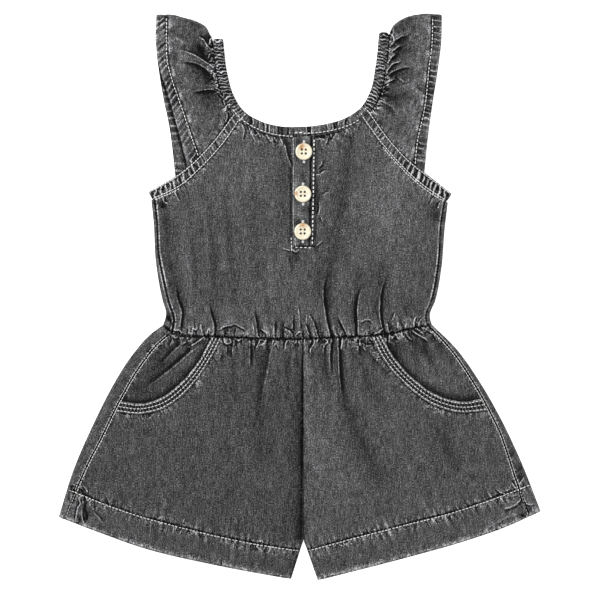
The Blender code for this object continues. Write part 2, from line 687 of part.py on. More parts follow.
def build_leg_front(side, patch, seam, collection):
    """The front leg, from the hem up to the pocket band and the waist."""
    leg = LEGS[side]
    band = line_to_seam(leg.band, seam, leg.band_end)
    shown_waist = WAIST_LINE.part(waist_share(leg.band[0][0]), waist_share(CENTRE_X))
    top = Chain((band.part(1.0, 0.0), 0.5), (shown_waist, 0.5))
    below = seam.part(0.0, seam.share_at_y(leg.band_end))
    seam_end = seam.at(0.0)
    hem = curve([seam_end, *leg.hem[1:]])
    front = Patch(hem, top, below, patch.finish)
    bag = line_to_seam(leg.bag, seam, leg.bag_end)

    def place(u, v):
        across, along = inset(u, 150.0), inset(v, 160.0)
        points = front.at(across, along)
        x, y = points[:, 0], points[:, 1]
        over_bag, _ = distances(x, y, bag.points[::6])
        over_band, _ = distances(x, y, band.points[::6])
        lift = 0.5 * (1 - eased(np.minimum(over_bag, over_band) / 20 - 0.4))
        folds = relief(LEG_FOLDS[side], x, y)
        waist_share = 1 - eased((over_band - 4) / 8)
        height = TOP_LAYER + 0.1 + puff(u, v) + lift + folds - waist_pinch(x, y) * (1 - waist_share)
        height += hem_lift(along, 170.0) - inseam_drop(side, points)
        return stacked(points, height)

    laid_panel(f"leg_front_{side}", *LEG_GRID, place, CLOTH, collection)


def build_pocket(side, seam, collection):
    """The pocket's facing with its bag under the front, and the band round its scoop."""
    leg = LEGS[side]
    scoop = line_to_seam(leg.scoop, seam, leg.scoop_end)
    band = line_to_seam(leg.band, seam, leg.band_end)
    bag = line_to_seam(leg.bag, seam, leg.bag_end)
    meets = waist_share(leg.bag[0][0])
    corner = WAIST_LINE.share[int(np.argmin(np.hypot(*(WAIST_LINE.points - seam.at(1.0)).T)))]
    seam_top = seam.share_at_y(WAIST_LINE.at(corner)[1])
    lower_end = seam.share_at_y(leg.bag_end)
    waist_edge = curve([seam.at(seam_top), *WAIST_LINE.part(corner, meets).at(np.linspace(0.2, 1.0, 4))])
    inward = 1.0 if side == "left" else -1.0
    low_edge = curve([seam.at(lower_end), seam.at(lower_end) + (inward * 1.6, 0.2)])
    bag_side = curve([low_edge.points[-1], *bag.points[-10::-10], waist_edge.points[-1]])
    facing = Patch(low_edge, waist_edge, seam.part(lower_end, seam_top), bag_side)

    def place_facing(u, v):
        across, along = 0.03 + u * 0.95, inset(v, 80.0, 0.4)
        points = facing.at(across, along)
        start = facing.at(np.zeros_like(u), along)
        away = points - start
        length = np.linalg.norm(away, axis=-1, keepdims=True)
        points = points + away / np.maximum(length, 1e-6) * np.clip(0.35 - length, 0, 0.35)
        rise = POCKET_RISE * eased(1 - u / 0.5) * eased((v - 0.25) / 0.35)
        folds = relief(POCKET_FOLDS[side], points[:, 0], points[:, 1])
        return stacked(points, POCKET_LAYER + rise + folds)

    def place_band(u, v):
        along = inset(u, band.length, 0.5)
        outer, inner = band.at(along), scoop.at(along)
        across = inset(v, 8.0, 0.3)[:, None]
        points = outer + (inner - outer) * across
        return stacked(points, np.full_like(u, TOP_LAYER + 0.25))

    laid_panel(f"pocket_facing_{side}", *POCKET_GRID, place_facing, POCKET_CLOTH, collection)
    laid_panel(f"pocket_band_{side}", BAND_STEPS, 1, place_band, BINDING - 0.2, collection, DENIM_TRIM)


# Placket and buttons


def front_height(patch_place, x, y):
    """The height of the middle of the bodice front at a place on it, found on a fine grid of the panel."""
    u, v = np.meshgrid(np.linspace(0.3, 0.7, 61), np.linspace(0.3, 1, 71))
    points = patch_place(u.ravel(), v.ravel())
    nearest = np.argmin(np.hypot(points[:, 0][:, None] - x, points[:, 1][:, None] - y), axis=0)
    return points[nearest, 2]


def build_placket(front_place, collection):
    lift = CLOTH / 2 + PLACKET_CLOTH / 2 + SEAM_GAP + 0.15

    def place(u, v):
        x = PLACKET_LEFT + u * (PLACKET_RIGHT - PLACKET_LEFT)
        slant = 1.6 * u  # the casing rises a little towards the wearer's left
        y = PLACKET_BOTTOM + v * (PLACKET_TOP + slant - PLACKET_BOTTOM)
        height = front_height(front_place, x, y) + lift
        return np.stack([x, y, height], axis=-1)

    laid_panel("placket", 3, 9, place, PLACKET_CLOTH, collection, DENIM_TRIM)
    return lift + PLACKET_CLOTH / 2


def build_button(button, height, collection, cutters):
    """A turned disc with a rim and a dished face, and four holes cut through it."""
    foot = 0.5
    profile = (
        (0.0, BUTTON_THICK - BUTTON_DISH),
        (BUTTON_RADIUS - BUTTON_RIM - 0.7, BUTTON_THICK - BUTTON_DISH),
        (BUTTON_RADIUS - BUTTON_RIM, BUTTON_THICK),
        (BUTTON_RADIUS - 0.5, BUTTON_THICK),
        (BUTTON_RADIUS, BUTTON_THICK - 0.6),
        (BUTTON_RADIUS, foot),
        (BUTTON_RADIUS - 1.2, 0.0),
        (0.0, 0.0),
    )
    mesh = bmesh.new()
    verts = [mesh.verts.new((x * MM, 0, z * MM)) for x, z in profile]
    for first, second in zip(verts, verts[1:]):
        mesh.edges.new((first, second))
    data = bpy.data.meshes.new(button.name)
    mesh.to_mesh(data)
    mesh.free()
    made = add_object(button.name, data, HORN, collection)
    screw = made.modifiers.new("turn", "SCREW")
    screw.steps = screw.render_steps = 24
    screw.use_merge_vertices = True
    screw.merge_threshold = 0.00001
    cut = made.modifiers.new("holes", "BOOLEAN")
    cut.operation = "DIFFERENCE"
    cut.object = build_hole_cutter(button.name, cutters)
    place = (button.x * MM, button.y * MM, height * MM)
    made.location = cut.object.location = place
    for face in made.data.polygons:
        face.use_smooth = True
    return made


def build_hole_cutter(name, cutters):
    mesh = bmesh.new()
    reach = BUTTON_HOLE_SPACING / 2 * MM
    for x, y in ((-reach, -reach), (reach, -reach), (-reach, reach), (reach, reach)):
        made = bmesh.ops.create_cone(
            mesh,
            cap_ends=True,
            segments=8,
            radius1=BUTTON_HOLE_RADIUS * MM,
            radius2=BUTTON_HOLE_RADIUS * MM,
            depth=3 * BUTTON_THICK * MM,
        )
        bmesh.ops.translate(mesh, verts=made["verts"], vec=(x, y, BUTTON_THICK / 2 * MM))
    data = bpy.data.meshes.new(f"{name}_holes")
    mesh.to_mesh(data)
    mesh.free()
    cutter = bpy.data.objects.new(f"{name}_holes", data)
    cutter.hide_render = True
    cutter.display_type = "WIRE"
    cutters.objects.link(cutter)
    return cutter


def main():
    for leftover in list(bpy.data.objects):
        bpy.data.objects.remove(leftover)
    romper = bpy.data.collections.new("baby_denim_romper")
    cutters = bpy.data.collections.new("cutters")
    for collection in (romper, cutters):
        bpy.context.scene.collection.children.link(collection)

    body = bodice_patch()
    front_place = build_bodice_front(body, romper)
    rolls = {side: BODICE[side].seam_offsets for side in ("left", "right")}
    build_back("bodice_back", body, rolls, BACK_GRID, 110.0, romper)
    build_neck_casing(romper)
    for side in ("left", "right"):
        build_armhole_binding(side, romper)
        build_sleeve(side, romper)
        patch = leg_patch(side)
        seam = side_seam(side, patch)
        build_leg_front(side, patch, seam, romper)
        rolls = {"left": LEGS[side].seam_offsets[::-1]}
        build_back(f"leg_back_{side}", patch, rolls, LEG_BACK_GRID, 170.0, romper)
        build_pocket(side, seam, romper)
    over_front = build_placket(front_place, romper)
    for button in BUTTONS:
        face = front_height(front_place, np.array([button.x]), np.array([button.y]))[0]
        build_button(button, face + over_front + SEAM_GAP + 0.2, romper, cutters)


main()
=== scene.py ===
"""Baby denim romper, laid flat on a pale floor: fine cloth, seams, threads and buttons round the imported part.

Lengths in the tables are millimetres in the part's own frame: +Y towards the neck, +X to the right, +Z up
from the surface. Left and right are as seen from above, so they are the wearer's right and left. Meshes are
made in metres.
"""

import math
from collections import namedtuple

import bmesh
import bpy
import numpy as np
from bpy.props import FloatProperty, FloatVectorProperty, IntProperty, PointerProperty
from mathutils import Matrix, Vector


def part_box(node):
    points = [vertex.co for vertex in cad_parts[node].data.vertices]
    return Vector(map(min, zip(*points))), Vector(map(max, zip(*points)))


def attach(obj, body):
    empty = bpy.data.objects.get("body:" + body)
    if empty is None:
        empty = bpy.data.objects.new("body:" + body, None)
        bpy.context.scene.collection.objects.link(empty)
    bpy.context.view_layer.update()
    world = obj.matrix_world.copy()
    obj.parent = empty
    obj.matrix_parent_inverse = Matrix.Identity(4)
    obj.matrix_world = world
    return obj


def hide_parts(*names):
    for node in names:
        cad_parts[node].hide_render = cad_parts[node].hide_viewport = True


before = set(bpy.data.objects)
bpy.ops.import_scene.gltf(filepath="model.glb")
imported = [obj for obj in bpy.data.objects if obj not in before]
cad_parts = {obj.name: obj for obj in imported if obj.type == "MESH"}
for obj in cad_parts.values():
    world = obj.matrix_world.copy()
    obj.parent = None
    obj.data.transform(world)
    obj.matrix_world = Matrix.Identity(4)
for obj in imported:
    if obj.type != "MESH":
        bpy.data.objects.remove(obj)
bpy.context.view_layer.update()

bl_info = {
    "name": "Baby Denim Romper",
    "version": (1, 0, 0),
    "blender": (4, 5, 0),
    "location": "View3D > Sidebar > Romper",
    "description": "Fine cloth, seams, threads and buttons of a romper laid flat",
    "category": "Mesh",
}

MM = 0.001


def cad_top(node):
    """The height of a solid's highest point, in millimetres."""
    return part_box(node)[1].z / MM


SIDES = ("left", "right")


def inward(side):
    """The sign of the way along X from a side of the part to its middle."""
    return 1 if side == "left" else -1


# Heights of the cloth's outer faces, thicknesses, widths and gaps, in millimetres. Each armhole takes its
# share of the bodice's upper edge.
TOP = cad_top("leg_back_left")
CLOTH = 1.2
ROLL = TOP / 2
POCKET_FACE = 2.7
POCKET_RISE = 1.3
POCKET_WALL = 0.8
BAND_LIFT = 0.45
BAND_WALL = 1.4
PLACKET_LIFT = 1.6
SEAM_GAP = 0.15
TUCK = 1.0
CASING_WIDTH = 8.2
CASING_THICK = 2.2
BINDING_THICK = 1.8
ARMHOLE_SHARE = 0.3125
CROTCH_DROP = 1.5
INSEAM_REACH = 7.0
SLEEVE_HEM = 8.0
LEAST_GAP = 0.3
FLOOR_DEPTH = 0.3

# The pattern's outlines. They are the solids' own, but the armholes' first points lie 1 mm under the casing.
WAIST = ((-109.2, -22.2), (-100.5, -29), (-70, -31.5), (20, -33), (70, -29.2), (106, -22))
NECK_GAP_X = -4.6
CENTRE_X = 3.2
CROTCH_Y = -194.6
Bodice = namedtuple("Bodice", "fold seam_offsets armhole_upper armhole_lower neck")
BODICE = {
    "left": Bodice(
        fold=((-109.2, -22.2), (-107, -14), (-110, -2), (-115.2, 28), (-117, 60), (-118.8, 77.5)),
        seam_offsets=(9.5, 6.5, 4.8, 2.9, 2.9, 2.9),
        armhole_upper=((-51.7, 147.4), (-67.6, 125.6), (-88.8, 104), (-101, 95), (-120.2, 84.2)),
        armhole_lower=((-47.6, 142.2), (-61, 122.8), (-80, 102), (-96, 88), (-118.8, 77.5)),
        neck=((-65.2, 206.6), (-61.6, 178), (-56.6, 160.5), (-47.5, 146.2), (-33, 137.2), (-15, 132.6),
              (NECK_GAP_X, 132)),
    ),
    "right": Bodice(
        fold=((106, -22), (104.4, -15.4), (108.8, -3), (113.6, 22), (116.4, 55), (118.8, 75.4)),
        seam_offsets=(3.2, 2.9, 2.9, 2.9, 3.6, 2.9),
        armhole_upper=((55.1, 149.1), (72.4, 125), (88.8, 107.8), (101.8, 97.8), (120.8, 82.8)),
        armhole_lower=((49.7, 144.2), (65, 123.4), (79, 107.2), (97.2, 89.8), (118.8, 75.4)),
        neck=((67.8, 211.6), (64.8, 184), (60.4, 163.5), (52, 149), (40, 140.4), (24, 135),
              (9, 132.7), (NECK_GAP_X, 132.2)),
    ),
}
Sleeve = namedtuple("Sleeve", "front_hem back_hem shoulder")
SLEEVES = {
    "left": Sleeve(
        front_hem=((-89.5, 102.6), (-97, 132), (-104.6, 159), (-112.2, 183), (-115.6, 205), (-114.8, 226.4)),
        back_hem=((-99.8, 95.4), (-105, 137.6), (-109.4, 159), (-113, 180), (-115.6, 205), (-114.8, 226.4)),
        shoulder=((-72, 211), (-74.8, 216.2), (-80.6, 220.2), (-91.4, 223.8), (-102.6, 226.2),
                  (-114.8, 226.4)),
    ),
    "right": Sleeve(
        front_hem=((100, 97.4), (103.6, 132), (107.4, 159), (111, 182), (113.8, 205), (114.2, 226.4)),
        back_hem=((99, 98.2), (102.8, 132), (106.6, 159), (110.4, 182), (113.8, 205), (114.2, 226.4)),
        shoulder=((72.3, 212.4), (74.9, 217), (80.2, 221.6), (89.6, 225.6), (101, 226.9), (114.2, 226.3)),
    ),
}
Leg = namedtuple("Leg", "fold seam_offsets hem scoop band bag scoop_end band_end bag_end")
LEGS = {
    "left": Leg(
        fold=((-109.2, -22.2), (-119, -29.4), (-134.8, -47.4), (-150.8, -73), (-163.8, -98.8), (-180.6, -137),
              (-193, -176)),
        seam_offsets=(9.5, 10.6, 11, 11, 8.5, 5.6),
        hem=((-193, -176), (-160.4, -188.5), (-124.4, -201.2), (-70.8, -214), (-6.8, -226)),
        scoop=((-70, -31.5), (-82.2, -53.5), (-97.5, -70.8), (-111.8, -81), (-126.2, -85.1)),
        band=((-61.5, -31.8), (-73, -53), (-91, -76.5), (-107.8, -89), (-126.2, -93.8)),
        bag=((-66, -31.7), (-71, -64), (-86, -94), (-112, -108), (-132, -111)),
        scoop_end=-83,
        band_end=-92,
        bag_end=-108,
    ),
    "right": Leg(
        fold=((106, -22), (125.4, -41.2), (143.8, -67), (160, -95), (177.2, -131), (193.2, -171.4)),
        seam_offsets=(3.2, 4.4, 5, 5.8, 9.5, 10.8),
        hem=((193.2, -171.4), (169.2, -182.4), (134, -195), (88.4, -208), (14.6, -227)),
        scoop=((65, -29.8), (75, -47), (91.4, -65.4), (111.6, -79), (132, -83.6)),
        band=((57.2, -30.9), (67, -50), (86.3, -71.6), (106.7, -86.4), (128, -92.6)),
        bag=((61, -30.3), (64, -62), (82, -92), (106, -107), (130, -111)),
        scoop_end=-81,
        band_end=-91,
        bag_end=-107,
    ),
}

# Creases listed one by one. Each runs from its root, where it has its share "start" of its depth, and fades
# from its share "hold" on to its last point. It is a trough of that width and depth with a crest beside it, on
# its left where ridge is above 0 and on its right where it is below. Tone is how much painted shade darkens its
# trough, or how much paler it is where tone is below 0; pale and dark are how strong the pale line on its
# crest, partly wear and partly painted highlight, and the painted shadow in its trough are, and shift moves
# both lines over.
Crease = namedtuple("Crease", "points width depth ridge start tone pale dark shift hold",
                    defaults=(1.0, 0.0, 1.0, 1.0, 0.0, 0.41))


def hook(points, pale, dark, side=1, hold=0.9, width=0.8):
    """A thin pale ridge, partly wear and partly painted highlight, with its painted shadow on its right where
    side is 1 and on its left where it is -1.
    """
    return Crease(points, width, -0.3, 0.05 * side, 1, 0, pale, dark, 1.3, hold)


def shadow(points, width, tone, depth, start, hold):
    """A broad soft trough darkened with painted shade and with no line in it, or a paler patch where its tone
    is below 0.
    """
    return Crease(points, width, depth, 0, start, tone, 0, 0, 0, hold)


def dent(points, width, depth, tone, dark, hold):
    """A short trough darkened with painted shade, with no pale crest."""
    return Crease(points, width, depth, 0, 1, tone, 0, dark, 0, hold)


BODICE_CREASES = (
    Crease(((-94.5, -29), (-93.8, -20), (-93.4, -11), (-97, 0), (-98, 14)), 1.3, 1.1, 0.45),
    Crease(((-75.6, -30.5), (-77.3, -19.6)), 1.1, 0.9, 0.35),
    Crease(((-67.3, -31.5), (-67.3, -22.8), (-69.4, -14.8), (-72.4, -4)), 1.4, 1.2, 0.4),
    Crease(((-59.6, -31), (-59, -26), (-54, -22.4), (-46, -22.8), (-41.4, -27)), 1.2, 0.5, 0.5),
    Crease(((-32.2, -31), (-33.6, -20), (-36.6, -8)), 1.2, 0.9, 0.35),
    Crease(((-19.2, -31.5), (-19, -15.6)), 1.1, 0.9, 0.3),
    Crease(((-13, -31.5), (-13, -17.6)), 1.1, 0.9, -0.3),
    Crease(((-4.6, -31.5), (-4.4, -11.6)), 1.1, 0.8, 0.3),
    Crease(((3.2, -32), (0.6, -18.8)), 1.1, 0.9, 0.4),
    Crease(((8.4, -32), (5.6, -23.4)), 1.1, 0.9, 0.35),
    Crease(((16, -32), (10.7, -14)), 1.2, 1, 0.4),
    Crease(((25.8, -32), (21.6, -12), (20.2, 4), (23.6, 26)), 1.3, 1.2, 0.4),
    Crease(((37.4, -31.6), (33.4, -23), (28.6, -12.8)), 1.2, 1, -0.4),
    Crease(((45.8, -31.4), (45.8, -2.8), (50.4, 14)), 1.4, 1.3, -0.35),
    Crease(((68.4, -29), (65.6, -15.6), (66.8, 5.2), (72, 22)), 1.4, 1.3, 0.35),
    Crease(((73.6, -28.6), (70.4, -22.6)), 1.1, 0.9, 0.3),
    Crease(((91.4, -25.6), (92.6, -19)), 1.1, 0.9, -0.4),
    Crease(((-9.5, 36), (-7, 26), (-5, 14)), 2.2, 0.35, -0.25, start=0),
    dent(((-106, -15.6), (-102, -21.2), (-100.4, -28.6)), 1.2, 1, 0.3, 1, 0.9),
    dent(((-7.6, 124), (-7, 100), (-6.8, 70), (-6.6, 41)), 1, 0.6, 0.05, 0.6, 0.95),
    dent(((11.6, 128.8), (18.8, 128.4), (27, 130.4)), 1, 0.7, 0.2, 1.2, 0.7),
    dent(((-113.8, 74.6), (-111.2, 73.8)), 1.2, 0.9, 0.3, 1.2, 0.7),
    dent(((-109.4, 74.8), (-109.2, 70.6)), 1.2, 0.9, 0.3, 1.2, 0.7),
    Crease(((92.8, -24), (94, -19)), 1.1, 0.9, 0),
    shadow(((-107.6, 73), (-105.2, 37), (-97.2, -2.8), (-94, -17.2)), 3.6, 0.42, 0.5, 0.8, 0.9),
    shadow(((-76, 90), (-69.2, 31.2), (-66.8, -17.2)), 3.5, 0.3, 0.35, 0, 0.8),
    shadow(((-88, 70), (-84, 30), (-80, -12)), 2.6, 0.2, 0.3, 0, 0.8),
    shadow(((-34, 96), (-36, 50), (-30, 0)), 3, 0.2, 0.3, 0, 0.8),
    shadow(((-62, 94), (-54, 30), (-50, -12)), 3, 0.26, 0.3, 0, 0.8),
    shadow(((-12.5, 128), (-12, 96), (-13.4, 60), (-14, 36)), 3.2, 0.2, 0.3, 0.9, 0.7),
    shadow(((14.8, 34), (17, 12), (20.6, -12)), 3.4, 0.26, 0.4, 0.3, 0.9),
    shadow(((42, 134), (36.6, 92), (28.6, 45.2), (22.6, 2), (21.2, -18)), 4, 0.34, 0.5, 0.8, 0.9),
    shadow(((66, 38), (63, 4), (62.4, -22)), 3.4, 0.3, 0.35, 0, 0.9),
    shadow(((50, 30), (46, 6), (45.8, -20)), 3, 0.25, 0.3, 0, 0.9),
    shadow(((106.8, 70), (111, 64), (113, 57)), 3.6, 0.6, 0.5, 0.6, 0.7),
    shadow(((-3, 34), (-2, 26)), 3, 0.45, 0.4, 0.9, 0.5),
    shadow(((-75.4, 84), (-74.2, 50), (-73, 22)), 1.4, -0.3, -0.15, 0.2, 0.6),
    shadow(((-61, 60), (-60.4, 36), (-58, 8)), 1.4, -0.2, -0.15, 0.2, 0.6),
    shadow(((-92, 52), (-88, 20), (-84, -4)), 1.6, -0.25, -0.15, 0.2, 0.6),
    shadow(((-24, 30), (-22, 4), (-20, -14)), 1.4, -0.2, -0.15, 0.2, 0.6),
    shadow(((34, 30), (32, 6), (31, -14)), 1.6, -0.2, -0.15, 0.2, 0.6),
    shadow(((80, 40), (76, 10), (74, -10)), 1.8, -0.25, -0.15, 0.2, 0.6),
    shadow(((90, 0), (84, -16)), 4, 0.25, 0.3, 0, 0.9),
    shadow(((76, 110), (68, 70), (58, 30)), 16, -0.27, 0, 0.6, 0.6),
    shadow(((-44, 116), (-50, 80)), 14, -0.08, 0, 0.6, 0.6),
    hook(((-86, -29.6), (-85.2, -25.2), (-82.4, -26), (-82, -23.6), (-83.6, -20.4)), 1.3, 0.7, 1, 0.7),
    hook(((-74, -29.6), (-72.8, -25.6), (-70.8, -28.8)), 1.2, 1.2, 1, 0.7),
    hook(((-63.2, -25.6), (-60.4, -23.6), (-55.6, -22.8), (-51.6, -21.6), (-47.6, -23.6), (-43.6, -26),
          (-41.2, -28.4)), 0.9, 1, 1, 0.8),
    hook(((-56, -24), (-56.2, -29)), 0.5, 1, 1, 0.7),
    hook(((-50, -25.4), (-50.4, -29.6)), 0.5, 1, 1, 0.7),
    hook(((-99.6, -26.6), (-95.6, -26.8), (-94, -29.6)), 1.5, 1.2),
    hook(((-29.6, -26.4), (-26.8, -28.4), (-26, -30.8)), 1.1, 1.4, 1, 0.7),
    hook(((-10.8, -26), (-7.6, -28), (-5.6, -30.4)), 1.1, 1.4, -1, 0.7),
    hook(((-1.2, -7.6), (-0.4, -14.8), (0, -27)), 0.9, 0.4, -1, 0.8),
    hook(((-2, -29.4), (0.4, -27.6), (2.4, -29.8)), 1.4, 1, 1, 0.7),
    hook(((-89, -29), (-87.6, -25)), 1, 0.5, -1, 0.7),
    hook(((-66.4, -22), (-64.6, -27.4)), 0.4, 1.2, 1, 0.7),
    hook(((-79, -22.4), (-78, -29.6)), 0.8, 1.1, 1, 0.8),
    hook(((-37.4, -22), (-36.2, -28)), 0.9, 0.6, -1, 0.7),
    hook(((-22.6, -23), (-22, -29)), 0.9, 0.6, -1, 0.7),
    hook(((5.6, -14.8), (5.2, -20.4)), 0.9, 0.4, 1, 0.7),
    hook(((5.2, -23.6), (6.4, -27.6), (8, -30.8)), 1.1, 1.4, -1),
    hook(((8.4, -15.6), (9.6, -18), (10.8, -19.6)), 0.9, 0.6, -1, 0.7),
    hook(((23.2, -21.2), (24.4, -27.6)), 1, 0.6, -1, 0.7),
    hook(((44, -19.6), (44, -29.6)), 1, 0.4, -1),
    hook(((50, -19.6), (53.2, -18), (57.2, -18.8), (58.8, -22)), 0.8, 0.8, 1, 0.7),
    hook(((59.6, -30), (64.4, -27.2), (67.4, -24.8)), 1.5, 0.6, -1),
    hook(((50, -30.6), (58, -29.8), (64.4, -28.2), (68.4, -26.8)), 1.2, 0),
    hook(((70, -21.6), (71.2, -26.4)), 1, 1, -1, 0.7),
    hook(((76, -14), (74.8, -17.2), (73.2, -20.4)), 0.9, 0.4, 1, 0.7),
    hook(((78.8, -20.4), (78.4, -26)), 1, 0.5, -1, 0.7),
    hook(((74, -29), (77.2, -27.4), (79.8, -26.2)), 1.3, 0.6),
    hook(((88.8, -17.2), (89.6, -20.4), (89.2, -24.4)), 1, 1.2, -1),
    hook(((91.6, -22.6), (92, -18), (93.6, -15.6)), 1.5, 1),
    hook(((95.2, -23.2), (95.6, -20.4), (97.6, -17.6)), 1.2, 1, -1),
    hook(((100.4, -22.4), (102.4, -21.2), (103.2, -18.4)), 1.2, 0.6),
    hook(((84.4, -26.8), (84.8, -20.8)), 0.9, 0.5, 1, 0.7),
    hook(((35.2, -30), (34.8, -22)), 0.7, 0.9, -1, 0.7),
    hook(((-46, 137.4), (-44.4, 134), (-44.8, 130), (-45.6, 124.4)), 1.1, 0.8, -1, 0.7),
    hook(((-40.4, 135.6), (-38.8, 131.6), (-36.4, 126.8), (-34.4, 124)), 1, 0.6, 1, 0.7),
    hook(((-34, 132.4), (-32.4, 130), (-30.6, 127)), 1.1, 0.8, 1, 0.7),
    hook(((-26.8, 130.8), (-24.4, 126.8), (-21, 122.4)), 1.1, 1, 1, 0.7),
    hook(((-20.4, 127.6), (-17.6, 123.8)), 1, 1, 1, 0.7),
    hook(((-15.6, 127.6), (-14, 123.6), (-13, 119.8)), 1, 0.8, -1, 0.7),
    hook(((-12.4, 124.4), (-11.2, 118.8), (-10, 113.2), (-7.6, 106.8), (-6.8, 101.8)), 0.9, 0.8, -1, 0.8),
    hook(((21.2, 123.2), (22.8, 127.6), (23.6, 130)), 0.9, 0.8, 1, 0.7),
    hook(((26.6, 126.4), (29.4, 130.4)), 0.9, 0.8, -1, 0.7),
    hook(((19.6, 100.4), (16.2, 98), (13.2, 97.6)), 1.1, 0.8, 1, 0.8),
    hook(((15.8, 104.2), (17.6, 106.8), (18, 110)), 1, 1, 1, 0.7),
    hook(((21.6, 83.4), (18.8, 81)), 0.9, 0.5, 1, 0.7),
    hook(((15.9, 75), (16.3, 70.8), (14.6, 64.4)), 1, 1.2, 1, 0.8),
    hook(((17.4, 64), (18.8, 60.2)), 0.9, 0.8, 1, 0.7),
    shadow(((13.4, 103.4), (19.2, 103.4)), 1.6, 0.5, 0.5, 0.9, 0.8),
    shadow(((14, 90), (14.4, 74)), 1.4, 0.5, 0.4, 0.6, 0.8),
    hook(((-10.6, 38.2), (-6.6, 37)), 1.1, 0.6),
    hook(((-5.4, 38), (-3, 36), (-0.8, 38)), 1.5, 0.6),
    hook(((13.8, 41), (17.9, 45)), 0.9, 0.6),
    hook(((-109, 79), (-108.2, 76), (-104.8, 75)), 1.4, 1, -1, 0.8),
    hook(((-113.2, 73.4), (-114.6, 69.6)), 1.1, 0.8, 1, 0.8),
    hook(((-99, 82), (-96, 76)), 0.8, 0.6, -1, 0.7),
    hook(((107, 79), (104.6, 74)), 0.8, 0.6, 1, 0.7),
    hook(((112, 74.4), (110.4, 70)), 0.9, 1, 1, 0.7),
)
